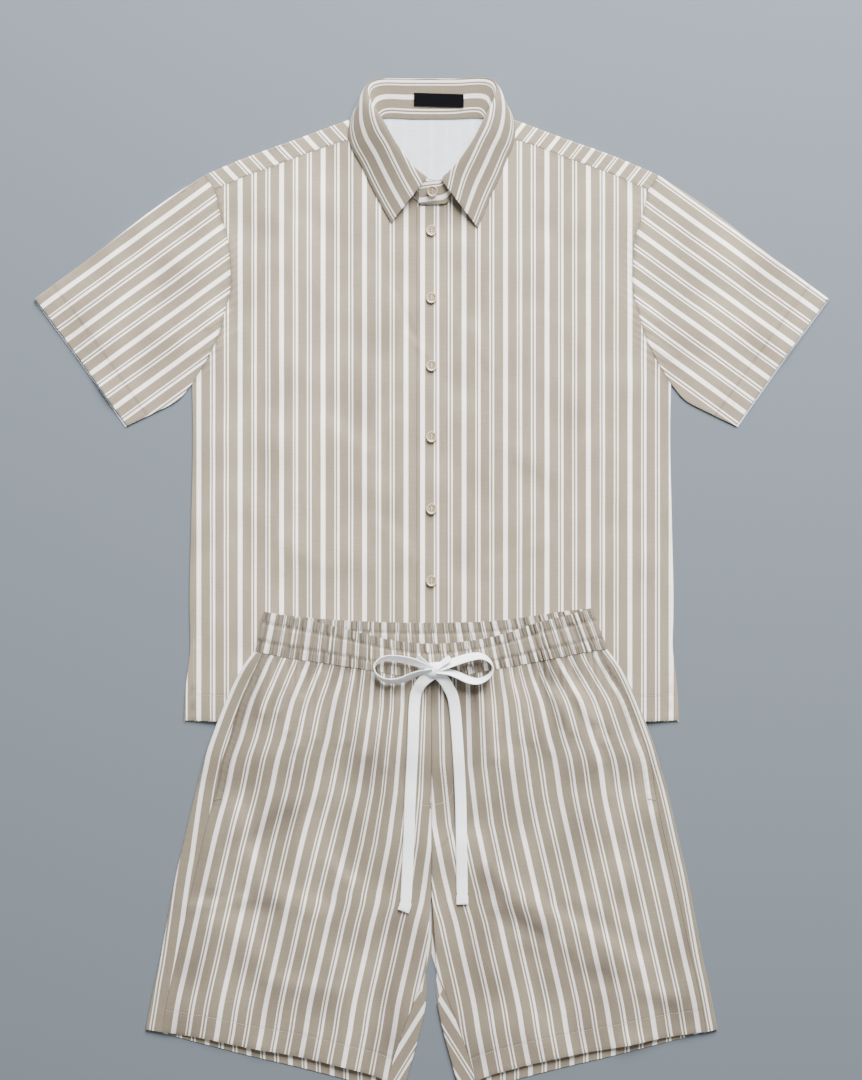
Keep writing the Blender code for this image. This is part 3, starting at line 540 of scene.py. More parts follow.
# %% [markdown]
# The folds are those of a pressed shirt that has been unfolded once: long, shallow and mostly
# upright, with some short ones at the armholes and the throat. Each row is one fold: its two ends,
# its width, its height and how far it bows.
# %% Shirt folds
SHIRT_FOLDS = (
    (-40, 350, -20, 292, 10, -0.7, 2), (-32, 296, 4, 262, 9, 0.6, 1),
    (42, 306, 74, 252, 20, 1.0, 2), (-120, 190, -60, 150, 26, 0.9, 3),
    (70, 170, 150, 120, 28, 1.0, -4), (-180, 60, -110, 20, 26, 1.0, 4),
    (60, 20, 140, 60, 26, 1.0, 4), (-70, 80, -20, 30, 22, 0.8, -3),
    (120, 320, 190, 270, 30, 1.0, -5), (-160, 420, -150, 40, 60, 1.0, 5),
    (-95, 300, -105, -40, 45, -0.7, -4), (120, 400, 110, 60, 55, 1.0, 6),
    (190, 250, 200, 0, 50, 0.8, -5), (-230, 180, -225, -40, 40, 0.7, 4),
    (200, 430, 120, 380, 40, 1.2, 6), (-200, 440, -130, 400, 40, 1.0, -6),
    (300, 330, 430, 280, 45, 1.1, 6), (-300, 330, -430, 280, 45, 1.1, -6),
    (-230, 330, -215, 255, 16, -0.8, 4), (-262, 300, -236, 322, 9, 0.9, 2),
    (-250, 275, -226, 300, 10, 0.8, -2), (250, 318, 268, 308, 9, 0.9, 1),
    (256, 288, 284, 266, 10, 1.0, 2), (282, 262, 306, 240, 10, 0.9, -2),
    (-60, 200, -70, 60, 30, 0.6, 3), (60, 330, 52, 140, 34, 0.6, -4),
    (-30, 90, -45, 20, 18, 0.5, 3), (160, 120, 170, -60, 36, 0.6, 5),
    (-190, 60, -180, -120, 36, 0.6, -4), (240, 120, 238, -60, 22, -0.5, 3),
    (-284, -70, -268, -74, 7, 0.7, 0), (283, -80, 268, -84, 7, 0.7, 0),
    (283, -98, 266, -100, 6, 0.6, 0), (-28, 432, -18, 424, 6, 0.5, 1),
    (-26, -12, -16, -22, 6, 0.6, 1),
)
print("shirt folds:", len(SHIRT_FOLDS))


# %% [markdown]
# No cloth lies quite flat. A sum of long waves in several directions gives it the gentle unevenness
# of a garment laid by hand, and short ripples run across the seams, where thread draws it in.
# %% Waves and puckers
# Each wave has its direction in degrees, its length, its height and where it starts
DRAPE_WAVES = ((8, 118, 0.60, 0.4), (-14, 83, 0.45, 2.1), (31, 61, 0.28, 1.2), (-41, 47, 0.17, 4.0),
               (3, 36, 0.14, 5.2), (72, 96, 0.45, 0.9), (98, 70, 0.28, 2.6), (60, 43, 0.12, 5.0))


def drape(x, y, waves=DRAPE_WAVES):
    """Gentle unevenness of cloth laid by hand, a sum of a few long waves that wander."""
    total = np.zeros(np.shape(x))
    for degrees, length, height, start in waves:
        turn = math.radians(degrees)
        across = x * math.cos(turn) + y * math.sin(turn)
        along = y * math.cos(turn) - x * math.sin(turn)
        wander = 0.8 * np.sin(along / (length * 0.9) + start * 3)
        total += height * np.sin(across * 2 * math.pi / length + start + wander)
    return total


def pucker(x, y, line, pitch=9.0, reach=13.0, height=0.32):
    """Short ripples across a seam, where the thread draws the cloth in."""
    away = line_distance(x, y, line)
    run = (y + 0.6 * x) / pitch
    ripple = np.sin(2 * math.pi * run + 1.3 * np.sin(run * 0.9))
    return height * ripple * bell(away, reach)


print("drape at the middle: %.2f mm" % drape(0.0, 0.0))

# %% [markdown]
# The shirt's upper layer rests on its lower one. It is lowest along the side seams and under the
# sleeves, where both layers are sewn together, and it rises a little towards the middle. It stays
# calm below the collar and where the shorts press on it.
# %% Height of the shirt
FLOOR_LAYER = 0.5
SIDE_HEIGHT = 1.8
BODY_LOFT = 1.9
LOFT_REACH = 40.0


def shirt_height(x, y):
    """Middle of the shirt's upper layer."""
    width = np.abs(x)
    reach = line_distance(width, y, SIDE_SEAM[:-1] + SLEEVE_LOWER)
    loft = ease(reach / LOFT_REACH)
    clear = ease((y + 40) / 60)
    fine = fold_relief(x, y, SHIRT_FOLDS) + drape(x, y) + pucker(width, y, ARM_LOWER)
    fine = fine + 0.6 * pucker(width, y, YOKE_SEAM, pitch=7.0, reach=9.0)
    fine = fine * (1 - (1 - ease((width - 98) / 30)) * ease((y - 385) / 30))
    return SIDE_HEIGHT + loft * (BODY_LOFT + fine * clear) + (1 - clear) * 0.3 * np.clip(fine, 0, 1)


print("shirt height on the placket: %.1f mm" % shirt_height(0.0, 200.0))


def hollow_tone(relief, strength):
    """Less light in the hollows and a little more on the ridges, in proportion to the relief."""
    return -strength * np.clip(relief, -2.0, 1.5)


def stacked(plan, height):
    return np.dstack([plan, height])


# %% [markdown]
# The back lies flat on the surface, and little of it shows: a line below the front's hem. It runs
# up to the yoke seam, which starts a little below the shoulder on each armhole.
# %% Back
BACK_SEAM_ARM = 2 / 9
BACK_HEM_DROP = 1.4


def make_back():
    arm = curve(ARM_LOWER, np.linspace(1, BACK_SEAM_ARM, 25))
    edge = np.vstack([sampled(SIDE_SEAM, 50), arm[1:]])
    edge[:, 1] -= BACK_HEM_DROP * (1 - ease((edge[:, 1] - SIDE_SEAM[0][1]) / 50))
    left = flip(edge, -1)
    hem = sampled((tuple(left[0]), (0, HEM_MIDDLE_Y - BACK_HEM_DROP), tuple(edge[0])), 60)
    seam = lerp(left[-1], edge[-1], np.linspace(0, 1, 61))
    plan = pull_in(patch(hem, seam, left, edge))
    grid = stacked(plan, np.full(plan.shape[:2], FLOOR_LAYER))
    return add_cloth("back_cloth", grid, plan.copy(), SHIRT_CLOTH, depth=1.0, dip=0.1)


make_back()

# %% [markdown]
# A folded edge is half a circle seen from its end. It joins the lower layer to the upper one, and
# its radius is half the height between them. Sleeves, shoulders and legs all use it.
# %% A folded edge
ARC_STEPS = 8


def fold_over(inner_low, edge, inner_high, low, high, steps=ARC_STEPS):
    """Points round a folded edge, from the lower layer to the upper one, for whole rows at once."""
    radius = (high - low) / 2
    rows = []
    for n in range(steps + 1):
        turn = math.pi * n / steps
        inner = inner_low if n <= steps / 2 else inner_high
        back = inner - edge
        back = back / np.linalg.norm(back, axis=-1, keepdims=True)
        spot = edge + back * (radius * (1 - math.sin(turn)))[..., None]
        height = low + radius * (1 - math.cos(turn))
        rows.append(np.concatenate([spot, height[..., None]], axis=-1))
    return np.stack(rows, axis=-2)


# %% [markdown]
# The yoke is one piece that covers the upper back and folds over both shoulders to the front seams.
# Its inside shows through the neck, paler than the right side, because the stripes are woven in.
# One grid holds it all, and the squares above the neck are left out.
# %% Yoke
YOKE_SHOULDER_COLUMNS = 64
YOKE_NECK_COLUMNS = 44
YOKE_FLAP_ROWS = 12
# Across the stripes on each shoulder: share of x, share of y, and the place of a wide stripe
YOKE_ACROSS = {-1: (0.76, 0.71, 164.0), 1: (0.93, -0.73, -100.0)}


def make_yoke():
    count = YOKE_SHOULDER_COLUMNS
    shoulder = sampled(SHOULDER, count)
    neck = sampled(BACK_NECK, YOKE_NECK_COLUMNS)
    top = np.vstack([flip(shoulder, -1), flip(neck, -1)[1:-1], shoulder[::-1]])
    lower_arm = curve(ARM_LOWER, np.linspace(0, BACK_SEAM_ARM, 13))
    arm = np.vstack([sampled(ARM_UPPER, 8), lower_arm[1:]])
    right = arm[::-1]
    left = flip(right, -1)
    seam = lerp(left[0], right[0], spread(top, 0))
    back = pull_in(patch(seam, top, left, right))
    columns, rows = back.shape[:2]
    grid = np.zeros((columns, rows + ARC_STEPS + YOKE_FLAP_ROWS, 3))
    grid[:, :rows - 1, :2] = back[:, :-1]
    grid[:, rows - 1:, :2] = back[:, -1:]
    grid[..., 2] = FLOOR_LAYER
    uv = grid[..., :2].copy()
    for side in (-1, 1):
        ridge = flip(shoulder, side)
        edge = flip(sampled(YOKE_SEAM, count), side)
        outer = flip(sampled(ARM_UPPER, YOKE_FLAP_ROWS), side)
        inner = flip(lerp(SHOULDER[-1], YOKE_SEAM[-1], np.linspace(0, 1, YOKE_FLAP_ROWS + 1)), side)
        flap = pull_in(patch(ridge, edge, outer, inner))
        span = slice(0, count + 1) if side < 0 else slice(columns - count - 1, columns)
        if side > 0:
            flap = flap[::-1]
        high = shirt_height(flap[:, 0, 0], flap[:, 0, 1])
        low = np.full(len(high), FLOOR_LAYER)
        arc = fold_over(back[span, -2], back[span, -1], flap[:, 1], low, high)
        rest = stacked(flap[:, 1:], shirt_height(flap[:, 1:, 0], flap[:, 1:, 1]))
        grid[span, rows - 1:] = np.concatenate([arc, rest], axis=1)
        x, y = grid[span, rows - 1:, 0], grid[span, rows - 1:, 1]
        across = YOKE_ACROSS[side]
        uv[span, rows - 1:, 0] = x * across[0] + y * across[1] - across[2]
        uv[span, rows - 1:, 1] = y * across[0] - x * across[1]
    keep = np.ones((columns - 1, grid.shape[1] - 1), bool)
    keep[count:columns - 1 - count, rows - 1:] = False
    return add_cloth("yoke_cloth", grid[:, ::-1], uv[:, ::-1], SHIRT_CLOTH, keep=keep[:, ::-1],
                     inner=SHIRT_LINING, depth=0.9)


make_yoke()

# %% [markdown]
# The fronts carry the placket. The photo's right front laps over, with its folded edge just left of
# the middle, and the other front runs under it. The lapped strip is doubled cloth, so it stands a
# little higher up to its row of stitches. Painted shade darkens the hem's stitch line, the throat,
# the hollows, the puckered side vents, the seams and the foot of the lapped strip's step, each by
# its own share, and the ridges get a little painted light.
# %% Fronts
LAP_EDGE = -17.0
UNDERLAP_EDGE = 17.0
UNDERLAP_DROP = 1.3
FRONT_ROWS_SIDE = 130
FRONT_ROWS_ARM = 100
FRONT_STRIPE_X = {-1: -29.8, 1: 38.0}
PLACKET_WIDTH = 33.0
PLACKET_STEP = 0.35
HEM_WIDTH = 30.0
HEM_STEP = 0.3
HEM_SHADE = 0.22
THROAT_SHADE = 0.30
HOLLOW_SHADE = 0.10
VENT_X, VENT_TOP_Y, VENT_SHADE = 279, -105, 0.30
SEAM_SHADE = 0.24
PLACKET_SHADE = 0.20


def make_front(name, side, fly_edge):
    arm = curve(ARM_LOWER, np.linspace(1, 0, FRONT_ROWS_ARM + 1))
    outer = flip(np.vstack([sampled(SIDE_SEAM, FRONT_ROWS_SIDE), arm[1:]]), side)
    neck = flip(sampled(NECK_LINE, 44), side)
    tail = lerp(neck[-1], (fly_edge, NECK_END_Y), np.linspace(0, 1, 13))
    top = np.vstack([flip(sampled(YOKE_SEAM, 84), side), neck[1:], tail[1:]])
    foot = np.array((fly_edge, HEM_MIDDLE_Y), float)
    fly = lerp(foot, top[-1], spread(outer, 1))
    share = spread(top, 0)
    hem = np.stack([outer[0, 0] + (foot[0] - outer[0, 0]) * share,
                    outer[0, 1] + (foot[1] - outer[0, 1]) * np.sin(share * math.pi / 2)], axis=1)
    plan = pull_in(patch(hem, top, outer, fly))
    x, y = plan[..., 0], plan[..., 1]
    level = shirt_height(x, y)
    if side < 0:
        level = level - UNDERLAP_DROP * ease((x + 46) / 26)
    else:
        level = level + PLACKET_STEP * (1 - ease((x - fly_edge - PLACKET_WIDTH) / 1.6))
    rise = y - hem[:, None, 1]
    level = level + HEM_STEP * (1 - ease((rise - HEM_WIDTH) / 1.6)) * ease((rise + 1) / 2)
    uv = np.dstack([x - FRONT_STRIPE_X[side], y])
    grid = stacked(plan, level)
    width = np.abs(x)
    tone = HEM_SHADE * bell(rise - HEM_WIDTH - 1.5, 1.6)
    tone = tone + THROAT_SHADE * ease((y - 398) / 32) * (1 - ease((width - 36) / 26))
    tone = tone + hollow_tone(fold_relief(x, y, SHIRT_FOLDS) + drape(x, y), HOLLOW_SHADE)
    vent = bell(width - VENT_X, 3.0) * ease((VENT_TOP_Y - y) / 15) * (0.5 + 0.5 * np.sin(y / 3.3))
    tone = tone + VENT_SHADE * vent
    for seam in (ARM_LOWER, YOKE_SEAM):
        tone = tone + SEAM_SHADE * bell(line_distance(width, y, seam) - 1, 1.8)
    if side > 0:
        tone = np.maximum(tone, PLACKET_SHADE * bell(x - fly_edge - PLACKET_WIDTH - 1.2, 1.2))
        grid, uv, tone = grid[::-1], uv[::-1], tone[::-1]
    return add_cloth(name, grid, uv, SHIRT_CLOTH, inner=SHIRT_LINING, tone=tone)


make_front("front_left_cloth", -1, UNDERLAP_EDGE)
make_front("front_right_cloth", 1, LAP_EDGE)

# %% [markdown]
# A short sleeve is one flat piece, folded along its upper edge and sewn along its lower one. Laid
# out it is two layers, and the lower one looks out from under the hem by a thread or two. The
# stripes run along the sleeve, parallel to its folded edge.
# %% Sleeves
SLEEVE_STATIONS = 92
SLEEVE_BACK_PEEK = 2.5
SLEEVE_STRIPE_START = {-1: 12.5, 1: 19.5}
SLEEVE_STRIPE_TURN = {-1: 1, 1: -1}
SLEEVE_HEM_WIDTH, SLEEVE_HEM_SHADE = 27, 0.30
ARMHOLE_SHADE = 0.28


def running_length(points, axis):
    """How far along its row or column each grid point lies, in millimetres."""
    step = np.linalg.norm(np.diff(points, axis=axis), axis=-1)
    run = np.cumsum(step, axis=axis)
    return np.concatenate([np.zeros_like(np.take(run, [0], axis=axis)), run], axis=axis)


def make_sleeve(name, side):
    lower_arm = curve(ARM_LOWER, np.linspace(0, 1, 91))
    arm = flip(np.vstack([sampled(ARM_UPPER, 10), lower_arm[1:]]), side)
    share = np.linspace(0, 1, len(arm))
    hem = flip(curve(SLEEVE_HEM, share), side)
    top = flip(sampled(SLEEVE_TOP, SLEEVE_STATIONS), side)
    low = flip(sampled(SLEEVE_LOWER, SLEEVE_STATIONS), side)
    plan = pull_in(patch(top, low, arm, hem))
    out = plan[-1, 0] - plan[-2, 0]
    out = out / np.linalg.norm(out)
    last = ease(np.arange(SLEEVE_STATIONS + 1) - SLEEVE_STATIONS + 1.0)
    peek = last[:, None] * out * SLEEVE_BACK_PEEK
    back = plan + peek[:, None]
    level = shirt_height(plan[..., 0], plan[..., 1])
    arc = fold_over(back[:, 1], plan[:, 0] + peek * 0.5, plan[:, 1],
                    np.full(len(plan), FLOOR_LAYER), level[:, 0])
    under = stacked(back[:, 1:], np.full(back[:, 1:].shape[:2], FLOOR_LAYER))[:, ::-1]
    grid = np.concatenate([under, arc, stacked(plan, level)[:, 1:]], axis=1)
    shoulder = np.array(SLEEVE_TOP[0], float)
    cuff = np.array(SLEEVE_TOP[-1], float)
    line = (cuff - shoulder) / np.linalg.norm(cuff - shoulder)
    x = grid[..., 0] * side - shoulder[0]
    y = grid[..., 1] - shoulder[1]
    across = (x * line[1] - y * line[0] - SLEEVE_STRIPE_START[side]) * SLEEVE_STRIPE_TURN[side]
    uv = np.dstack([across, x * line[0] + y * line[1]])
    # Painted shade in the hollows, at the hem's stitch line and at the armhole, painted light on
    # ridges
    tone = hollow_tone(drape(grid[..., 0], grid[..., 1]), HOLLOW_SHADE)
    run = running_length(grid, 0)
    from_hem = run[-1:] - run
    tone = (tone + SLEEVE_HEM_SHADE * bell(from_hem - SLEEVE_HEM_WIDTH, 1.3)
            + ARMHOLE_SHADE * bell(run - 1, 2.0))
    if side > 0:
        grid, uv, tone = grid[::-1], uv[::-1], tone[::-1]
    return add_cloth(name, grid, uv, SHIRT_CLOTH, inner=SHIRT_LINING, depth=0.9, tone=tone)


make_sleeve("sleeve_left_cloth", -1)
make_sleeve("sleeve_right_cloth", 1)

# %% [markdown]
# The collar has two parts. The stand goes round the neck and laps at the throat, and the leaf turns
# down over it to two points. Each row of the table is one section: the stand's base, the fold at
# its top, the leaf's free edge, and how far the cloth bulges out where it turns.
# %% Collar sections
COLLAR = np.array((
    (-9, 447, 5.0, -6, 475, 13, -47, 424, 5.6, 7), (-22, 456, 5.0, -22, 487, 17, -59, 445, 5.6, 7),
    (-36, 474, 5.0, -33, 501, 21, -71, 468, 5.6, 7),
    (-49, 493, 5.0, -44, 517, 24, -82, 491, 5.7, 6),
    (-60, 510, 5.0, -54, 535, 25, -93, 511, 5.9, 7),
    (-68, 526, 5.0, -64, 551, 23, -97, 528, 6.0, 8),
    (-69, 538, 5.0, -71, 564, 20, -95, 543, 6.0, 9),
    (-64, 546, 3.6, -74, 577, 17, -90, 556, 4.6, 10),
    (-56, 547, 2.2, -70, 585, 15, -80, 566, 1.8, 11),
    (-46, 547, 1.9, -57, 589, 14, -66, 564, 0.9, 11),
    (-24, 546, 1.9, -30, 589, 13, -34, 561, 0.9, 11), (0, 546, 1.9, 0, 589, 13, 0, 560, 0.9, 11),
    (24, 546, 1.9, 30, 589, 13, 34, 562, 0.9, 11), (46, 547, 1.9, 57, 590, 14, 66, 566, 0.9, 11),
    (56, 547, 2.2, 70, 587, 15, 80, 569, 1.8, 11), (64, 546, 3.6, 75, 578, 17, 90, 559, 4.6, 10),
    (69, 538, 5.0, 73, 566, 20, 96, 545, 6.0, 9), (68, 526, 5.0, 67, 553, 23, 98, 531, 6.0, 8),
    (62, 513, 5.0, 59, 537, 25, 95, 515, 5.9, 7), (52, 497, 5.0, 50, 519, 24, 88, 499, 5.7, 6),
    (40, 479, 5.0, 38, 501, 21, 80, 479, 5.6, 7), (27, 461, 5.4, 25, 485, 17, 67, 450, 5.6, 7),
    (17, 447, 6.2, 11, 473, 14.5, 54, 418, 5.6, 7)), float)
BASE, FOLD, EDGE, HOOK = slice(0, 3), slice(3, 6), slice(6, 9), slice(9, 10)
STAND_LEFT_TAB = (((7, 450, 4.3), (7, 472, 9.6)),)
STAND_RIGHT_TABS = (((2, 446.5, 6.6), (0, 471, 14.4)), ((-15, 447, 6.6), (-14, 469, 13.4)))
SEAM_GAP = 0.3


def through(points, steps):
    """Smooth curve with a fixed number of steps from each point to the next."""
    p = with_ends(points)
    t = (np.arange(steps) / steps)[:, None]
    return np.vstack([between(p[k - 1:k + 3], t) for k in range(1, len(p) - 2)] + [p[-2]])


def unit(vectors):
    return vectors / np.maximum(np.linalg.norm(vectors, axis=-1, keepdims=True), 1e-9)


print("collar: %d sections" % len(COLLAR))

# %% [markdown]
# The stand is a plain band from its base to the fold, with a tab at each end. The right tab laps
# over and takes the collar button. Painted shade darkens all of it a little, and more at the
# throat, where less light gets in.
# %% Collar stand
STAND_STRIPE = 20.0
THROAT_Y = 465


def make_stand():
    def line(column, place):
        return through([tab[place] for tab in STAND_LEFT_TAB] + list(COLLAR[:, column])
                       + [tab[place] for tab in STAND_RIGHT_TABS], 8)

    low, high = line(BASE, 0), line(FOLD, 1)
    share = np.linspace(0, 1, 15)
    grid = low[:, None] * (1 - share)[None, :, None] + high[:, None] * share[None, :, None]
    below_top = np.linalg.norm(high - low, axis=1)[:, None] * (1 - share)
    along = running_length(grid, 0)
    uv = np.dstack([STAND_STRIPE - below_top, along])
    # Painted shade: a little on the whole stand, more towards the throat
    tone = 0.12 + 0.24 * ease((THROAT_Y - grid[..., 1]) / 40)
    return add_cloth("stand_cloth", grid, uv, SHIRT_CLOTH, depth=1.0, tone=tone)


make_stand()

# %% [markdown]
# The leaf starts at the fold, bulges out and comes down to its free edge. Each section is one curve
# with two handles: the first points straight out from the fold, and the second holds the cloth up
# before it meets the shirt. At the back of the neck the leaf is tucked close to the stand.
# %% Collar leaf
TUCK_START = 564.0
TUCK_RUN = 22.0
LEAF_BELLY = 3.0
LEAF_STRIPE = 23.0
LEAF_SHADE = 0.28
LEAF_STITCH_INSET, LEAF_STITCH_SHADE = 5.5, 0.15


def leaf_grid(stations=10, rows=26):
    table = through(COLLAR, stations)
    base, fold, edge, hook = table[:, BASE], table[:, FOLD], table[:, EDGE], table[:, HOOK]
    run = unit(np.gradient(fold, axis=0))
    up = fold - base
    up = unit(up - run * (up * run).sum(axis=1, keepdims=True))
    outward = unit(np.cross(up, run))
    tuck = ease((fold[:, 1:2] - TUCK_START) / TUCK_RUN)
    start = fold + up * (WALL_HALF + SEAM_GAP)
    turn = start + outward * hook + up * hook * 0.3 * (1 - tuck)
    near = 0.12 + 0.73 * tuck
    approach = edge * (1 - near) + fold * near
    approach[:, 2] = edge[:, 2] + LEAF_BELLY * (1 - tuck[:, 0])
    u = np.concatenate([np.linspace(0, 0.2, 7)[:-1], np.linspace(0.2, 1, rows - 6)])[None, :, None]
    return (start[:, None] * (1 - u) ** 3 + turn[:, None] * 3 * u * (1 - u) ** 2
            + approach[:, None] * 3 * u * u * (1 - u) + edge[:, None] * u ** 3)


def make_leaf():
    grid = leaf_grid()
    depth = running_length(grid, 1)
    from_edge = depth[:, -1:] - depth
    along = running_length(grid, 0)[:, -1:] + 0 * depth
    uv = np.dstack([from_edge - LEAF_STRIPE, along])
    # Painted shade: the whole leaf faces away from the light, and its stitch line is darker still
    tone = LEAF_SHADE + LEAF_STITCH_SHADE * bell(from_edge - LEAF_STITCH_INSET, 0.9)
    return add_cloth("leaf_cloth", grid, uv, SHIRT_CLOTH, depth=1.0, tone=tone)


make_leaf()

# %% [markdown]
# Plain finishes share one small helper: a colour, how rough it is, and a fine grain as a bump.
# %% Plain finishes
def plain(name, colour, roughness=0.8, sheen=0.0, grain=0.0, bump=0.0, gloss=0.5):
    material = bpy.data.materials.new(name)
    material.use_nodes = True
    tree = material.node_tree
    shader = tree.nodes["Principled BSDF"]
    shader.inputs["Base Color"].default_value = (*colour, 1)
    shader.inputs["Roughness"].default_value = roughness
    shader.inputs["Sheen Weight"].default_value = sheen
    shader.inputs["Specular IOR Level"].default_value = gloss
    if grain:
        place = tree.nodes.new("ShaderNodeTexCoord")
        noise = tree.nodes.new("ShaderNodeTexNoise")
        noise.inputs["Scale"].default_value = grain
        noise.inputs["Detail"].default_value = 4.0
        tree.links.new(place.outputs["Object"], noise.inputs["Vector"])
        add_bump(tree, noise.outputs["Fac"], bump, 0.0003)
    return material


LABEL_BLACK = plain("label_black", (0.004, 0.004, 0.005), 0.9, grain=2500, bump=0.3, gloss=0.04)
THREAD = plain("sewing_thread", (0.24, 0.20, 0.16), 0.8)
PALE_THREAD = plain("pale_thread", (0.62, 0.58, 0.52), 0.7)
CORD_WHITE = plain("cord_white", (0.93, 0.94, 0.95), 0.85, sheen=0.3, grain=1100, bump=1.0)
# Painted shade for the holes and the ring by the foot of each button's rim
BUTTON_PAINTED_SHADE = plain("button_groove", (0.10, 0.07, 0.045), 0.5)
BUTTON_HORN = plain("button_horn", (0.44, 0.345, 0.235), 0.35, grain=300, bump=0.08)
print("plain finishes:", LABEL_BLACK.name, THREAD.name, CORD_WHITE.name, BUTTON_HORN.name)

# %% [markdown]
# The neck label is a narrow woven tab, sewn inside the back of the stand. It stays bare.
# %% Neck label
LABEL_SIZE = (58.0, 15.0)
LABEL_X = 8.5
LABEL_SHARE = 0.48


def make_label():
    section = COLLAR[len(COLLAR) // 2]
    low = np.array((LABEL_X, *section[1:3]))
    high = np.array((LABEL_X, *section[4:6]))
    up = unit(high - low)
    normal = np.cross((1, 0, 0), up)
    middle = low + (high - low) * LABEL_SHARE + normal * 1.2
    x = np.linspace(-1, 1, 25)[:, None, None] * LABEL_SIZE[0] / 2
    y = np.linspace(-1, 1, 9)[None, :, None] * LABEL_SIZE[1] / 2
    grid = middle + x * np.array((1.0, -0.03, 0)) + y * up + 0 * x * y
    return add_cloth("label_weave", grid, grid[..., :2].copy(), LABEL_BLACK, depth=0.6, dip=0.1)


label_weave = make_label()

# %% [markdown]
# Thread, cord and buttons are all rings of points joined by faces, with a face over each end. One
# helper lists those faces. A bar of thread is a short bowed tube between two holes.
# %% Rings of faces and a bar of thread
def ring_faces(rings, sides, turned=False):
    faces = []
    for k in range(rings - 1):
        near, far = k * sides, (k + 1) * sides
        for n in range(sides):
            m = (n + 1) % sides
            face = (near + n, near + m, far + m, far + n)
            faces.append((near + n, far + n, far + m, near + m) if turned else face)
    first = tuple(range(sides))
    last = tuple((rings - 1) * sides + n for n in range(sides))
    return faces + ([first, last[::-1]] if turned else [first[::-1], last])


def thread_bar(start, end, height, thickness=0.35):
    """A short bowed bar of thread between two holes."""
    points = []
    steps, sides = 8, 6
    a, b = np.array(start, float), np.array(end, float)
    side = np.array((-(b - a)[1], (b - a)[0])) / np.linalg.norm(b - a)
    for n in range(steps + 1):
        t = n / steps
        spot = a + (b - a) * t
        z = height + 0.75 * math.sin(math.pi * t) - 0.6
        for k in range(sides):
            angle = 2 * math.pi * k / sides
            out = side * math.cos(angle) * thickness
            points.append((spot[0] + out[0], spot[1] + out[1], z + math.sin(angle) * thickness))
    return points, ring_faces(steps + 1, sides)


# %% [markdown]
# A button is turned like a tiny dish: a flat base, a round rim and a shallow well with four holes.
# The holes are pressed into the fine rings of the well, and two bars of thread cross it.
# %% One button
BUTTON_PROFILE = ((4.1, 1.85), (4.6, 2.0), (5.0, 2.35), (5.4, 2.58), (5.75, 2.6), (6.05, 2.45),
                  (6.25, 2.1), (6.3, 1.6), (6.2, 1.0), (5.8, 0.5), (5.0, 0.15), (4.0, 0.0),
                  (0.01, 0.0))
BUTTON_SIDES = 48
WELL_FLOOR = 1.85
# Painted shade rings the well between these radii, by the foot of the rim
RIM_SHADE_INNER, RIM_SHADE_OUTER = 3.3, 3.9
HOLE_OFFSET = 1.35
HOLE_RADIUS = 0.85
HOLE_DEPTH = 1.3
HOLE_SLOPE = 0.15
HOLES = [(a * HOLE_OFFSET, b * HOLE_OFFSET) for a in (-1, 1) for b in (-1, 1)]


print("button: %.1f mm across" % (2 * max(radius for radius, _ in BUTTON_PROFILE)))


def make_button(name, place, normal, spin):
    radii = [0.02] + list(np.arange(0.3, 4.0, 0.2))
    rings = [(r, WELL_FLOOR, True) for r in radii] + [(r, h, False) for r, h in BUTTON_PROFILE]
    points = []
    for radius, height, well in rings:
        for n in range(BUTTON_SIDES):
            angle = 2 * math.pi * n / BUTTON_SIDES + spin
            x, y = radius * math.cos(angle), radius * math.sin(angle)
            sink = 0.0
            if well:
                near = min(math.hypot(x - a, y - b) for a, b in HOLES)
                slope = (HOLE_RADIUS + HOLE_SLOPE - near) / (2 * HOLE_SLOPE)
                sink = HOLE_DEPTH * float(ease(slope))
            points.append((x, y, height - sink))
    faces = ring_faces(len(rings), BUTTON_SIDES, turned=True)
    disc_faces = len(faces)
    for y in (-HOLE_OFFSET, HOLE_OFFSET):
        bar, bar_faces = thread_bar((-HOLE_OFFSET, y), (HOLE_OFFSET, y), WELL_FLOOR + 0.05)
        faces += [tuple(v + len(points) for v in face) for face in bar_faces]
        points += bar
    turn = np.array(Vector((0, 0, 1)).rotation_difference(Vector(normal)).to_matrix())
    item = add_mesh(name, np.array(points) @ turn.T + np.array(place), faces, BUTTON_HORN)
    item.data.materials.append(PALE_THREAD)
    item.data.materials.append(BUTTON_PAINTED_SHADE)
    for polygon in item.data.polygons[disc_faces:]:
        polygon.material_index = 1
    # Painted shade darkens the holes and the ring by the foot of the rim, where they face up
    centres = np.array([polygon.center for polygon in item.data.polygons]) / MM - ORIGIN_SHIFT
    local = (centres - np.array(place)) @ turn
    reach = np.hypot(local[:, 0], local[:, 1])
    to_hole = np.min([np.hypot(local[:, 0] - a, local[:, 1] - b) for a, b in HOLES], axis=0)
    for polygon, away, gap in zip(list(item.data.polygons)[:disc_faces], reach, to_hole):
        dark = RIM_SHADE_INNER < away < RIM_SHADE_OUTER or gap < HOLE_RADIUS + HOLE_SLOPE
        if dark and polygon.normal.dot(Vector(normal)) > 0.2:
            polygon.material_index = 2
    return item


# %% [markdown]
# Six buttons lie down the placket, each on the highest cloth below it, and the seventh is tilted
# with the collar's tab. Each is turned a little, since nobody sews them all alike.
# %% Buttons on their seats
BUTTON_ROWS = (415, 336, 257, 174, 90, 6)


def button_seat(y):
    spots = np.array([(x, y + d) for x in (-6, 0, 6) for d in (-6, 0, 6)], float)
    return float(shirt_height(spots[:, 0], spots[:, 1]).max()) + WALL_HALF + PLACKET_STEP + 0.1


buttons = []
for number, row in enumerate(BUTTON_ROWS, start=1):
    place = (0, row, button_seat(row))
    buttons.append(make_button("horn_button_%d" % number, place, (0, 0, 1), number))
tab_low, tab_high = (np.array(p, float) for p in STAND_RIGHT_TABS[0])
tab_normal = unit(np.cross((1, 0, 0), tab_high - tab_low))
tab_place = tab_low + (tab_high - tab_low) * 0.55 + tab_normal * 1.1
collar_button = make_button("horn_button_collar", tab_place, tuple(tab_normal), 3)
print("buttons:", len(buttons) + 1)

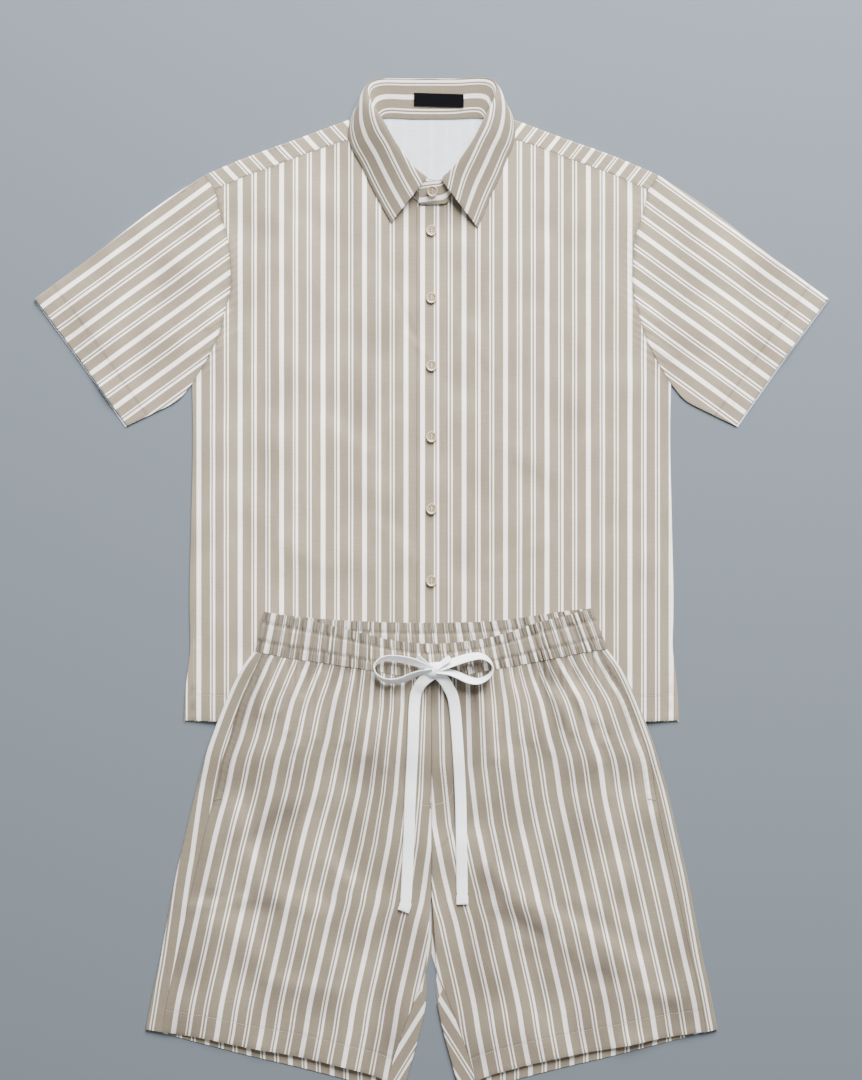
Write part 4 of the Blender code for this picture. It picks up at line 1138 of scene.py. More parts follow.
# %% [markdown]
# The waistband is an elasticated casing, a flattened ring of cloth. The elastic pulls it into about
# forty-five gathers on each layer. One wave gives their ridges: round on top, with narrow valleys,
# and never two alike.
# %% Waistband lines and gathers
BAND_BACK_TOP = ((-195, -30), (-154, -36), (-84, -41), (0, -43), (80, -40), (150, -30), (187, -26))
BAND_FRONT_TOP = ((-195, -30), (-163, -36), (-107, -48), (-50, -62), (4, -67), (67, -60),
                  (125, -42), (154, -35), (187, -26))
BAND_FRONT_BASE = ((-205, -76), (-166, -84), (-130, -89), (-72, -98), (0, -108), (74, -97),
                   (139, -85), (174, -78), (205, -73))
BAND_BACK_BASE = ((-205, -76), (-154, -81), (-84, -85), (0, -88), (80, -84), (150, -77), (205, -73))
BAND_BACK_HEIGHT = 6.0
BAND_FRONT_HEIGHT = 9.6
GATHERS = 45
GATHER_SAMPLES = 9
BAND_ROWS = 25
STITCH_ROWS = (0.27, 0.72)
BAND_STRETCH = 1.13
BAND_STRIPE_START = -13.0


def gather_wave(share, phase=0.0):
    """Puffed ridges with narrow valleys, uneven along the band. Runs from about -1 to 1."""
    place = (share * GATHERS + 0.32 * np.sin(share * 37 + phase)
             + 0.2 * np.sin(share * 91 + 2 * phase))
    ridge = 1 - 1.9 * np.abs(np.cos(math.pi * place)) ** 3.5
    size = 0.78 + 0.3 * np.sin(share * 61 + 1 + phase) + 0.22 * np.sin(share * 143 + 3 * phase)
    return ridge * size


def band_shares():
    count = GATHERS * GATHER_SAMPLES
    return (np.arange(count) + 0.5) / count


print("waistband: %d gathers on each layer" % GATHERS)

# %% [markdown]
# Two rows of stitches hold the gathers flat. Between the rows the cloth puffs a little, and above
# and below it stands in small ruffles with finer waves on them. The stripes bend with the gathers,
# and painted shade darkens the valleys and the stitch rows.
# %% One side of the waistband
def band_side(top_line, base_line, level, height, phase, flip_side):
    share = band_shares()
    top, base = curve(top_line, share), curve(base_line, share)
    base[:, 1] += 0.2
    down = np.linspace(0, 1, BAND_ROWS)
    wave = gather_wave(share, phase)
    ruffle = gather_wave(share + 0.004, phase + 0.7)
    held = np.ones(BAND_ROWS)
    puff = np.zeros(BAND_ROWS)
    for row in STITCH_ROWS:
        near = bell(down - row, 0.045)
        held -= 0.45 * near
        puff -= 0.55 * near
    channel = ease((down - STITCH_ROWS[0]) / 0.08) * ease((STITCH_ROWS[1] - down) / 0.08)
    puff += 0.55 * channel
    held -= 0.35 * channel
    mix = ease(np.abs(down - 0.5) / 0.2 - 0.6)
    waves = wave[:, None] * (1 - mix) + ruffle[:, None] * mix
    plan = lerp(top[:, None], base[:, None], np.broadcast_to(down, (len(share), BAND_ROWS)))
    plan[..., 1] += 0.45 * ruffle[:, None] * bell(down, 0.12)
    calm = 1 - 0.4 * ease((90 - np.abs(top[:, :1])) / 30)
    z = level + height * calm * waves * held + puff
    fine = np.sin(2 * math.pi * (share * GATHERS * 2.4 + 0.5 * np.sin(share * 83 + phase)))
    fine = fine * (0.7 + 0.5 * np.sin(share * 171 + phase))
    below_first = ease((down - STITCH_ROWS[0] + 0.02) / 0.06)
    above_second = ease((STITCH_ROWS[1] + 0.02 - down) / 0.06)
    in_ruffle = 1 - below_first * above_second
    z = z + 0.42 * height * fine[:, None] * in_ruffle
    along = share * np.linalg.norm(np.diff(top, axis=0), axis=1).sum()
    across = along[:, None] * BAND_STRETCH + BAND_STRIPE_START
    across = (across + 1.5 * np.sin(2 * math.pi * share * GATHERS)[:, None] * held
              + 1.6 * fine[:, None] * in_ruffle)
    # Painted shade in the valleys of the gathers and ruffles and along the stitch rows
    valley = (np.clip(-waves, 0, 1) * held * 0.55
              + np.clip(-fine, 0, 1)[:, None] * in_ruffle * 0.42)
    near_stitch = sum(bell(down - row, 0.035) for row in STITCH_ROWS)
    tone = np.clip(valley + 0.34 * near_stitch, 0, 0.65) + 0 * z
    uv = np.dstack([across + 0 * z, -down[None, :] * 46 + 0 * z])
    grid = np.dstack([plan, z])
    return (grid[::-1], uv[::-1], tone[::-1]) if flip_side else (grid, uv, tone)


# %% [markdown]
# The front and back sides join at the ends of the band into one closed ring of cloth.
# %% The waistband
SHORTS_CLOTH = striped_cloth("shorts_cloth", (0.188, 0.153, 0.111), (0.72, 0.685, 0.63))


def make_band():
    front, front_uv, front_tone = band_side(BAND_FRONT_TOP, BAND_FRONT_BASE, BAND_FRONT_HEIGHT,
                                            1.7, 0.0, False)
    back, back_uv, back_tone = band_side(BAND_BACK_TOP, BAND_BACK_BASE, BAND_BACK_HEIGHT,
                                         1.0, 1.9, True)
    grid = np.concatenate([front, back])
    uv = np.concatenate([front_uv, back_uv, front_uv[:1]])
    tone = np.concatenate([front_tone, back_tone])
    return add_cloth("band_cloth", grid[:, ::-1], uv[:, ::-1], SHORTS_CLOTH, loop=True,
                     depth=0.9, dip=0.1, tone=tone[:, ::-1])


make_band()

# %% [markdown]
# The legs hang from the band. The two fronts meet at the centre seam. Each back leg lies below its
# front and wraps a little way over both edges, so a strip of it shows outside the side seam and
# another along the inseam.
# %% Leg outline
SHORTS_OUTER = ((205, -74), (222, -98), (239, -133), (257, -179), (266, -208), (276, -242),
                (292, -310), (301, -350), (316, -430), (324, -467), (334, -518))
SHORTS_SEAM = ((198, -77), (214, -112), (226, -138), (239, -175), (250, -206), (257, -250),
               (270, -309), (283, -367), (296, -426), (309, -484), (315, -521))
SEAM_SHIFT = {-1: 0.0, 1: 6.0}
INNER_LEG = ((0, -359), (2.5, -391), (4.5, -423), (6, -448))
INSEAM = ((6, -448), (13, -467), (20, -485), (30, -510), (37, -531), (44, -550), (52, -579))
INNER_FOLD = ((6, -448), (5.5, -475), (9, -500), (16, -530), (24, -559), (33, -591))
FRONT_HEM = ((315, -521), (269, -528), (216, -539), (164, -548), (111, -560), (70, -571),
             (52, -579))
BACK_HEM = ((334, -518), (257, -538), (210, -550), (158, -562), (111, -574), (60, -588), (33, -596))
FLY_STITCH = ((28, -108), (28, -200), (27, -270), (23, -290), (13, -302), (0, -306))
CENTRE_TOP_Y = -108
CROTCH_Y = -359
BACK_CROTCH_Y = -432
print("shorts: %d mm from band to hem" % (CENTRE_TOP_Y - BACK_HEM[-1][1]))

# %% [markdown]
# Creases fan out from the band, and long soft folds lie across each leg. Each row has the same
# seven values as the shirt's folds.
# %% Shorts folds
SHORTS_FOLDS = (
    (-165, -84, -198, -150, 13, 2.2, 4), (-152, -84, -172, -118, 10, 1.6, 2),
    (-120, -95, -158, -190, 17, 2.0, -4), (-138, -92, -150, -128, 9, -1.3, 1),
    (150, -86, 192, -160, 15, 2.4, 4), (168, -96, 205, -178, 13, -1.4, 3),
    (165, -120, 196, -210, 17, 1.8, -3), (180, -82, 216, -124, 9, 1.7, 2),
    (128, -95, 150, -170, 12, -1.3, 2), (90, -100, 104, -180, 16, 1.7, 2),
    (-60, -108, -78, -200, 17, 1.7, -3), (-92, -104, -108, -185, 12, 1.4, 2),
    (45, -285, 110, -372, 30, 2.6, 6), (105, -368, 245, -452, 30, 2.6, -8),
    (62, -335, 130, -412, 26, -1.5, 6), (150, -360, 250, -405, 28, 1.6, -5),
    (-215, -335, -120, -385, 34, 2.2, 5), (-265, -385, -190, -440, 34, 2.0, -5),
    (-262, -362, -180, -378, 20, -1.4, 3), (-300, -372, -215, -366, 18, 1.8, 2),
    (-122, -318, -88, -350, 22, 1.6, 3), (-40, -130, -55, -215, 13, 1.4, 2),
    (56, -125, 74, -205, 13, 1.5, -2), (120, -110, 138, -195, 14, 1.4, 2),
    (-130, -240, -140, -420, 46, 1.2, 8), (180, -240, 210, -360, 40, 1.2, -6),
    (-228, -250, -206, -330, 26, 1.3, 5), (-60, -420, -90, -540, 36, 1.2, 4),
    (100, -460, 140, -545, 36, 1.3, 4), (-200, -455, -90, -470, 24, 1.1, 3),
    (190, -470, 290, -480, 24, 1.2, -3), (240, -180, 262, -270, 20, 1.4, 3),
    (95, -422, 285, -500, 28, -1.7, -6), (-240, -305, -130, -250, 28, -1.5, 4),
    (70, -382, 165, -436, 20, -1.5, -4), (-150, -100, -180, -150, 9, 1.3, 2),
    (-126, -98, -168, -172, 11, 1.5, 4), (-98, -104, -136, -180, 11, 1.3, 4),
    (-68, -110, -98, -184, 11, 1.1, 3), (124, -100, 164, -172, 11, 1.5, -4),
    (154, -96, 200, -184, 12, 1.7, -5), (140, -118, 208, -250, 17, 1.6, -7),
    (90, -110, 120, -184, 11, 1.2, -3), (58, -106, 76, -176, 11, 1.0, -2),
)
print("shorts folds:", len(SHORTS_FOLDS))


# %% [markdown]
# The lower layer lies on the surface and climbs a step where the shirt lies below it. The upper one
# rests on it, with small gathers that run down from the band and fade, each at its own length.
# %% Height of the shorts
def shorts_under(y):
    step = ease((y + 240) / 50)
    return FLOOR_LAYER + 4.5 * step + 1.0 * ease((y + 118) / 30)


def band_base_y(x):
    line = sampled(BAND_FRONT_BASE, 80)
    return np.interp(x, line[:, 0], line[:, 1])


def leg_gathers(x, y):
    """Ridges that the band's gathers send down the legs."""
    share = (x + 205) / 410
    below = np.maximum(band_base_y(x) - y, 0)
    reach = 30 + 16 * np.sin(share * 53) + 12 * np.sin(share * 117 + 1) + 26 * np.abs(share - 0.5)
    fan = share - 0.00006 * below * np.sign(x) * np.abs(x) / 60
    return gather_wave(fan + 0.004, 0.7) * np.exp(-(below / np.maximum(reach, 12)) ** 1.3)


def shorts_over(x, y, gathers=1.5):
    reach = np.minimum(line_distance(np.abs(x), y, SHORTS_OUTER),
                       line_distance(np.abs(x), y, INNER_FOLD))
    loft = ease(reach / LOFT_REACH)
    near_band = ease((y + 135) / 45)
    band_rise = BAND_FRONT_HEIGHT - BAND_BACK_HEIGHT
    rise = (2.5 + loft * 1.6) * (1 - near_band) + band_rise * near_band
    relief = fold_relief(x, y, SHORTS_FOLDS) + drape(x - 40, y, DRAPE_WAVES)
    folds = relief * loft * (1 - near_band * 0.7)
    edge_keep = ease(reach / 12)
    return shorts_under(y) + rise + folds + gathers * leg_gathers(x, y) * edge_keep


# %% [markdown]
# A leg's grid needs its edges as rows of points: the top just below the band, the side seam, and
# the inner edge, which runs down the centre seam, round the crotch and along the inseam.
# %% Leg edges
LEG_ROWS = (96, 30, 44)


def edge_y(points, x):
    line = sampled(points, 60)
    return float(np.interp(x, line[:, 0], line[:, 1]))


def below_band(points, side, reach, count):
    spots = reach * (1 - np.arange(count + 1) / count)
    return np.array([(x, edge_y(points, side * x) - 0.2) for x in spots])


def leg_seam(side, shares):
    line = curve(SHORTS_SEAM, shares)
    line[:, 0] += SEAM_SHIFT[side] * ease((line[0, 1] - line[:, 1]) / 60)
    if side < 0:
        line[:, 0] -= 5.0 * np.exp(-((line[:, 1] + 200) / 55) ** 2)
    line[0, 1] = edge_y(BAND_FRONT_BASE, side * line[0, 0]) - 0.2
    return line


def inner_front():
    down, leg, inseam = LEG_ROWS
    centre = lerp((0, CENTRE_TOP_Y), (0, CROTCH_Y), np.linspace(0, 1, down + 1))
    return np.vstack([centre, sampled(INNER_LEG, leg)[1:], sampled(INSEAM, inseam)[1:]])


# %% [markdown]
# The stripes run beside the side seam, where the cloth was cut, and their repeat narrows towards
# the band, which draws the cloth together. Near the centre seam they hang straight down.
# %% Stripes across a leg
LEG_STRIPE_IN = {-1: 13.5, 1: 8.8}
# Height and repeat beside the side seam
LEG_PITCH = ((-560, 51.5), (-209, 51.5), (-81, 45.6), (-60, 45.0))
# Near the centre seam, each row: height, place of a wide stripe, repeat
LEG_MIDDLE = {-1: ((-100, 33, 38), (-141, 34, 38), (-241, 42, 44), (-300, 50, 48),
                   (-359, 61.5, 51.5)),
              1: ((-100, 42, 47), (-141, 43, 48), (-208, 45, 48.5), (-278, 53, 50),
                  (-359, 70, 51.5))}


def leg_across(x, y, side, start):
    """Millimetres across the stripes of one leg."""
    line = leg_seam(side, np.linspace(0, 1, 120))
    beyond = line[-1] + (line[-1] - line[-20]) * 6
    line = np.vstack([line, beyond])
    seam_x = np.interp(-y, -line[:, 1], line[:, 0]) * side
    pitch = np.interp(y, [p[0] for p in LEG_PITCH], [p[1] for p in LEG_PITCH])
    beside = (x - seam_x + side * start) * STRIPE_REPEAT / pitch
    rows = np.array(LEG_MIDDLE[side], float)[::-1]
    wide = np.interp(y, rows[:, 0], rows[:, 1])
    repeat = np.interp(y, rows[:, 0], rows[:, 2])
    middle = (x - side * wide) * STRIPE_REPEAT / repeat - side * 4 * STRIPE_REPEAT
    share = np.maximum(ease((np.abs(x) - wide) / 110), ease((-y - 325) / 70))
    return middle * (1 - share) + beside * share


# %% [markdown]
# Each front leg is one panel. Its hem is doubled, so it stands a little higher up to the stitches.
# The pocket is a stitched line inside the side seam, and the mock fly is a line on the right leg.
# %% Front legs
LEG_COLUMNS = 136
LEG_HEM_WIDTH = 26
POCKET_INSET, POCKET_END_Y = 10.5, -262
GATHER_SHADE = 0.30
LEG_HEM_SHADE = 0.22
BAND_SHADE = 0.25
CENTRE_SEAM_SHADE = 0.22
POCKET_SHADE, POCKET_RIPPLE_SHADE = 0.42, 0.09
FLY_SHADE = 0.30
LEG_HOLLOW_SHADE = 0.16


print("pocket line: %.1f mm inside the side seam" % POCKET_INSET)


def front_leg_plan(side):
    inner = inner_front()
    outer = leg_seam(side, spread(inner, 1))
    top = flip(below_band(BAND_FRONT_BASE, side, outer[0, 0], LEG_COLUMNS), side)
    hem = flip(sampled(FRONT_HEM, LEG_COLUMNS), side)
    outer = flip(outer, side)
    hem[0] = outer[-1]
    outer[0] = top[0]
    return pull_in(patch(top, hem, outer, flip(inner, side)))


def make_front_leg(name, side):
    plan = front_leg_plan(side)
    x, y = plan[..., 0], plan[..., 1]
    level = shorts_over(x, y)
    rise = running_length(plan[:, ::-1], 1)[:, ::-1]
    level = level + HEM_STEP * (1 - ease((rise - LEG_HEM_WIDTH) / 1.6)) * ease((rise + 1) / 2)
    uv = np.dstack([leg_across(x, y, side, LEG_STRIPE_IN[side]), y])
    grid = stacked(plan, level)
    away = band_base_y(x) - y
    # Painted shade: gathers, hem stitch line, band's edge, centre seam, pocket, ripples and fly
    tone = (GATHER_SHADE * np.clip(-leg_gathers(x, y), 0, 1)
            + LEG_HEM_SHADE * bell(rise - LEG_HEM_WIDTH - 1.5, 1.6))
    tone = (tone + BAND_SHADE * bell(away, 4.0)
            + CENTRE_SEAM_SHADE * bell(np.abs(x), 1.3) * (y > CROTCH_Y))
    seam = leg_seam(side, np.linspace(0, 1, 120))[::-1]
    inside = np.interp(y, seam[:, 1], seam[:, 0]) - np.abs(x)
    pocket = bell(inside - POCKET_INSET, 1.2) + 0.8 * bell(inside - 1.6, 1.4)
    ripple = ease(inside / 2) * (1 - ease(inside - 10)) * (1 + 0.8 * np.sin(y * 1.8))
    tone = tone + (POCKET_SHADE * pocket
                   + POCKET_RIPPLE_SHADE * ripple) * ease((y - POCKET_END_Y) / 10)
    if side > 0:
        tone = tone + FLY_SHADE * bell(line_distance(x, y, FLY_STITCH), 1.2)
    relief = fold_relief(x, y, SHORTS_FOLDS) + drape(x - 40, y)
    # Painted shade in the folds' hollows, painted light on their ridges
    tone = tone + hollow_tone(relief, LEG_HOLLOW_SHADE)
    if side < 0:
        grid, uv, tone = grid[::-1], uv[::-1], tone[::-1]
    return add_cloth(name, grid, uv, SHORTS_CLOTH, inner=SHIRT_LINING, tone=tone)


# %% [markdown]
# Each back leg is a tray: a strip over the side edge, the flat layer below, and a strip over the
# inner edge. The inner strip starts below the crotch, so its squares above that are left out.
# %% Back legs
BACK_LEG_COLUMNS = 50
WRAP_START_Y = -466
INNER_WRAP_ACROSS = {-1: (0.85, -0.52, 248.9), 1: (0.85, 0.53, -247.1)}
# How far inside the outline a wide stripe runs on each wrapped strip, by height
OUTER_WRAP_STRIPE = {-1: ((-600, 25), (-490, 22), (-377, 17), (-320, 14), (-199, 3), (-90, 1)),
                     1: ((-600, 25), (-350, 23), (-199, 22), (-90, 20))}


def make_back_leg(name, side):
    inner = inner_front()
    shares = spread(inner, 1)
    rows = len(inner)
    seam = leg_seam(side, shares)
    outer = curve(SHORTS_OUTER, shares)
    turn = inner[inner[:, 1] > BACK_CROTCH_Y]
    fold = np.vstack([np.stack([0 * turn[:, 1], turn[:, 1]], axis=1),
                      sampled(INNER_FOLD, rows - len(turn))[1:]])
    columns = BACK_LEG_COLUMNS
    top = below_band(BAND_BACK_BASE, side, outer[0, 0], columns)
    hem = sampled(BACK_HEM, columns)
    fold[0], fold[-1], outer[0], outer[-1] = top[-1], hem[-1], top[0], hem[0]
    plan = pull_in(patch(top, hem, outer, fold))
    wrap_row = int(np.argmax(inner[:, 1] < WRAP_START_Y))

    def over(points):
        return shorts_over(points[..., 0] * side, points[..., 1], gathers=0.0)

    def under(points):
        return shorts_under(points[..., 1])

    def column(points, height):
        return np.dstack([points[:, None], height(points)[:, None]])

    edge = plan[0]
    rim = seam + unit(edge - seam) * 0.2
    middle = (edge + rim) / 2
    arc = fold_over(plan[1], edge, seam, under(edge), over(edge))[:, ::-1]
    flat = plan[1:-1].transpose(1, 0, 2)
    last = plan[-1]
    inner_rim = inner + unit(last - inner) * 0.4
    inner_arc = fold_over(plan[-2], last, inner, under(last), over(last))
    wrapped = np.concatenate([inner_arc, column(inner_rim, over)], axis=1)
    wrapped[:wrap_row] = column(last, under)[:wrap_row]
    grid = np.concatenate([column(rim, over), column(middle, over), arc,
                           np.dstack([flat, under(flat)]), wrapped], axis=1)
    grid[..., 0] *= side
    x, y = grid[..., 0], grid[..., 1]
    outline = np.interp(-y, -outer[:, 1], outer[:, 0]) * side
    row = OUTER_WRAP_STRIPE[side]
    across = x - outline + side * np.interp(y, [p[0] for p in row], [p[1] for p in row])
    turned = INNER_WRAP_ACROSS[side]
    flat_end = 2 + ARC_STEPS + 1 + columns - 1
    inside = np.arange(grid.shape[1]) >= flat_end + ARC_STEPS // 2
    across = np.where(inside[None, :], x * turned[0] + y * turned[1] - turned[2], across)
    uv = np.dstack([across, y])
    keep = np.ones((rows - 1, grid.shape[1] - 1), bool)
    keep[:wrap_row, flat_end:] = False
    if side < 0:
        grid, uv, keep = grid[:, ::-1], uv[:, ::-1], keep[:, ::-1]
    return add_cloth(name, grid, uv, SHORTS_CLOTH, keep=keep, depth=0.9)


make_back_leg("back_leg_left", -1)
make_back_leg("back_leg_right", 1)
make_front_leg("front_leg_left", -1)
make_front_leg("front_leg_right", 1)

# %% [markdown]
# The drawstring is a flat woven cord tied in a bow. Each strand follows the points of its table:
# x, y, its lift above the cloth, and its roll in degrees. A strand with no roll lies flat, and one
# near ninety stands on its edge, as the lower side of each loop does.
# %% Bow tables
CORD_WIDTH = 13.0
CORD_WALL = 2.0
CORD_STEP = 2.0
TAIL_LEFT = ((3, -101, 3.4, 0), (-6, -107, 4.2, 0), (-14, -116, 3.2, 0), (-19.5, -134, 1.2, 0),
             (-22, -192, 0.6, 0), (-25, -250, 1.2, 0), (-27, -309, 0, 0), (-30, -367, 0, 0),
             (-33, -379, 0, 0))
TAIL_RIGHT = ((5, -100, 3.4, 0), (13, -107, 4.2, 0), (20, -118, 3.0, 0), (26.5, -137, 1.2, 0),
              (31, -192, 0.6, 0), (34, -250, 1.2, 0), (35, -309, 0, 0), (36, -371, 0, 0))
LOOP_LEFT = ((0, -96, 2.6, 58), (-12, -91, 1.4, 52), (-25, -86.5, 0.4, 48), (-43, -83.5, 0.2, 52),
             (-56, -84, 0.2, 64), (-65, -90, 0, 80), (-66, -98, 0, 95), (-60, -106, 0, 108),
             (-49, -110, 0, 118), (-36, -109, 0, 124), (-24, -104, 0.3, 124), (-12, -100, 1.6, 118),
             (1, -98, 2.6, 112))
LOOP_RIGHT = ((5, -96, 2.6, 58), (18, -91, 1.4, 52), (31, -86, 0.4, 48), (45, -82, 0.2, 50),
              (58, -81, 0.2, 62), (68, -87, 0, 80), (71, -96, 0, 95), (65, -105, 0, 108),
              (54, -110, 0, 118), (42, -108, 0, 124), (31, -103, 0.3, 124), (19, -99, 1.6, 118),
              (6, -98, 2.6, 112))
STUB_LEFT = ((0, -95, 3.0, 56), (-9, -89, 2.4, 56), (-17, -82.5, 1.2, 54))
STUB_RIGHT = ((5, -95, 3.0, 64), (13, -89, 2.4, 64), (21.5, -83, 1.2, 62))
print("bow: tails of %d and %d points" % (len(TAIL_LEFT), len(TAIL_RIGHT)))

# %% [markdown]
# A strand is swept along its curve. At each step the section stands on the cloth below it, leans by
# its roll, and keeps its width. A tail's end is pressed a little wider, like a heat-sealed cord.
# %% One strand of cord
SECTION_POINTS = 20
CAP_LENGTH = 11.0


def cloth_top(x, y):
    """Upper face of whatever the cord lies on."""
    band_face = BAND_FRONT_HEIGHT + 0.9 + WALL_HALF
    leg_face = shorts_over(x, y, gathers=0.0) + WALL_HALF
    return leg_face + np.maximum(band_face - leg_face, 0) * ease((y + 125) / 15)


def tape_section(width, wall, dent=0.12):
    """Outline of the flat cord: round edges and a shallow channel along the middle."""
    points = []
    for n in range(SECTION_POINTS):
        angle = 2 * math.pi * n / SECTION_POINTS
        u = math.copysign(abs(math.cos(angle)) ** 0.55, math.cos(angle)) * width / 2
        v = math.copysign(abs(math.sin(angle)) ** 0.75, math.sin(angle)) * wall / 2
        points.append((u, v * (1 - dent * (1 - (2 * u / width) ** 2))))
    return np.array(points)


def make_tape(name, strands, cap=False):
    rough = np.array(strands, float)
    total = np.linalg.norm(np.diff(rough[:, :2], axis=0), axis=1).sum()
    count = int(total / CORD_STEP)
    path = curve(strands, np.linspace(0, 1, count + 1))
    lean = np.radians(path[:, 3])
    reach = np.abs(np.cos(lean)) * CORD_WIDTH / 2
    stand = np.abs(np.sin(lean)) * CORD_WIDTH / 2
    ground = np.max([cloth_top(path[:, 0] + d * reach, path[:, 1]) for d in (-1, 0, 1)], axis=0)
    z = ground + SEAM_GAP + CORD_WALL / 2 + stand + path[:, 2] * (1 - stand * 2 / CORD_WIDTH)
    spots = np.column_stack([path[:, :2], z])
    ahead = unit(np.gradient(spots, axis=0))
    flat = unit(np.column_stack([ahead[:, :2], 0 * z]))
    aside = np.column_stack([flat[:, 1], -flat[:, 0], 0 * z])
    across = aside * np.cos(lean)[:, None] + np.array((0, 0, 1)) * np.sin(lean)[:, None]
    normal = unit(np.cross(ahead, across))
    section = tape_section(CORD_WIDTH, CORD_WALL)
    along = running_length(spots, 0)
    left = along[-1] - along
    swell = np.ones(len(spots))
    if cap:
        swell = (1 + 0.06 * ease((CAP_LENGTH - left) / 1.5)
                 - 0.10 * bell(left - CAP_LENGTH - 0.5, 1.2))
    rings = (spots[:, None] + across[:, None] * section[None, :, :1] * swell[:, None, None]
             + normal[:, None] * section[None, :, 1:] * swell[:, None, None])
    first = spots[0] * 0.7 + rings[0] * 0.3 - ahead[0] * 0.7
    final = spots[-1] * 0.7 + rings[-1] * 0.3 + ahead[-1] * 0.5
    points = np.vstack([first, rings.reshape(-1, 3), final])
    item = add_mesh(name, points, ring_faces(len(spots) + 2, len(section)), CORD_WHITE)
    fix_outward(item)
    route = [tuple((p + ORIGIN_SHIFT) * MM) for p in spots]
    return item, route, float(along[-1]) * MM


def fix_outward(item):
    work = bmesh.new()
    work.from_mesh(item.data)
    bmesh.ops.recalc_face_normals(work, faces=work.faces)
    work.to_mesh(item.data)
    work.free()


# %% [markdown]
# The knot is a full, rounded body. It has a groove on each side of its middle, and one turn of the
# cord lies over it.
# %% Knot
KNOT_CENTRE = (3.0, -97.0)
KNOT_RADII = (11.5, 8.4, 5.4)
WRAP_WIDTH, WRAP_WALL = 11.0, 1.6
WRAP_STEPS = 48


def make_knot(name):
    """Rounded knot: a full body, with one turn of the tape wrapped over its middle."""
    seat = float(cloth_top(*np.array(KNOT_CENTRE))) + SEAM_GAP + KNOT_RADII[2]
    centre = np.array((*KNOT_CENTRE, seat))
    points = []
    rings, sides = 28, 40
    for k in range(rings + 1):
        pole = math.pi * k / rings
        for n in range(sides):
            angle = 2 * math.pi * n / sides
            x = -math.cos(pole)
            round_part = math.sin(pole) ** 0.8
            groove = 1 - 0.10 * bell(abs(x) - 0.50, 0.10) - 0.05 * math.sin(5 * angle + 3 * x)
            points.append((x * KNOT_RADII[0], round_part * groove * KNOT_RADII[1] * math.cos(angle),
                           round_part * groove * KNOT_RADII[2] * math.sin(angle)))
    faces = ring_faces(rings + 1, sides)
    start = len(points)
    section = tape_section(WRAP_WIDTH, WRAP_WALL)
    for k in range(WRAP_STEPS):
        angle = 2 * math.pi * k / WRAP_STEPS
        out = np.array((0.0, math.cos(angle), math.sin(angle)))
        middle = np.array((1.2 + 2.2 * math.cos(angle), math.cos(angle) * (KNOT_RADII[1] + 0.3),
                           math.sin(angle) * (KNOT_RADII[2] + 0.3)))
        for u, v in section:
            fall = -0.9 * (2 * u / WRAP_WIDTH) ** 2
            points.append(tuple(middle + np.array((u, 0, 0)) + out * (v + fall)))
    size = len(section)
    for k in range(WRAP_STEPS):
        here, after = start + k * size, start + (k + 1) % WRAP_STEPS * size
        for n in range(size):
            m = (n + 1) % size
            faces.append((here + n, here + m, after + m, after + n))
    item = add_mesh(name, np.array(points) + centre, faces, CORD_WHITE)
    fix_outward(item)
    return item


# %% [markdown]
# The bow shows two tails, two loops and the knot, and two short ends that look out behind it. Each
# strand also gives its route and its length.
# %% Tie the bow
tail_left, tail_left_route, tail_left_length = make_tape("tape_tail_left", TAIL_LEFT, cap=True)
tail_right, tail_right_route, tail_right_length = make_tape("tape_tail_right", TAIL_RIGHT, cap=True)
loop_left, loop_left_route, loop_left_length = make_tape("tape_loop_left", LOOP_LEFT)
loop_right, loop_right_route, loop_right_length = make_tape("tape_loop_right", LOOP_RIGHT)
stub_left = make_tape("tape_stub_left", STUB_LEFT, cap=True)[0]
stub_right = make_tape("tape_stub_right", STUB_RIGHT, cap=True)[0]
knot = make_knot("tape_knot")
print("tails %.3f and %.3f m" % (tail_left_length, tail_right_length))
print("loops %.3f and %.3f m" % (loop_left_length, loop_right_length))

# %% [markdown]
# A stitch is one short raised thread that dives into the cloth at both ends. It is made once, and
# every seam repeats it.
# %% One stitch
def stitch_mesh():
    """One raised thread, a millimetre long along x. The group scales it."""
    sides, rings = 6, 5
    points = []
    for k in range(rings):
        t = k / (rings - 1)
        radius = (0.35 + 0.65 * math.sin(math.pi * t)) * 0.5
        for n in range(sides):
            angle = 2 * math.pi * n / sides
            points.append(((t - 0.5) * MM, math.cos(angle) * radius * MM,
                           math.sin(angle) * radius * MM))
    mesh = bpy.data.meshes.new("thread_unit")
    mesh.from_pydata(points, [], ring_faces(rings, sides, turned=True))
    mesh.shade_smooth()
    return bpy.data.objects.new("thread_unit", mesh)


THREAD_UNIT = stitch_mesh()
print("one stitch:", len(THREAD_UNIT.data.polygons), "faces")

# %% [markdown]
# Stitches repeat, so geometry nodes lay them: the group takes seam lines made of loose edges, sets
# a point every few millimetres, and puts one small thread on each, turned along the seam. A small
# random turn with a fixed seed keeps them from looking stamped. Realize Instances and Set Material
# end the tree, because an export drops instances.
# %% The sewing group
STITCH_SEED = 3
STITCH_SWAY = 0.09


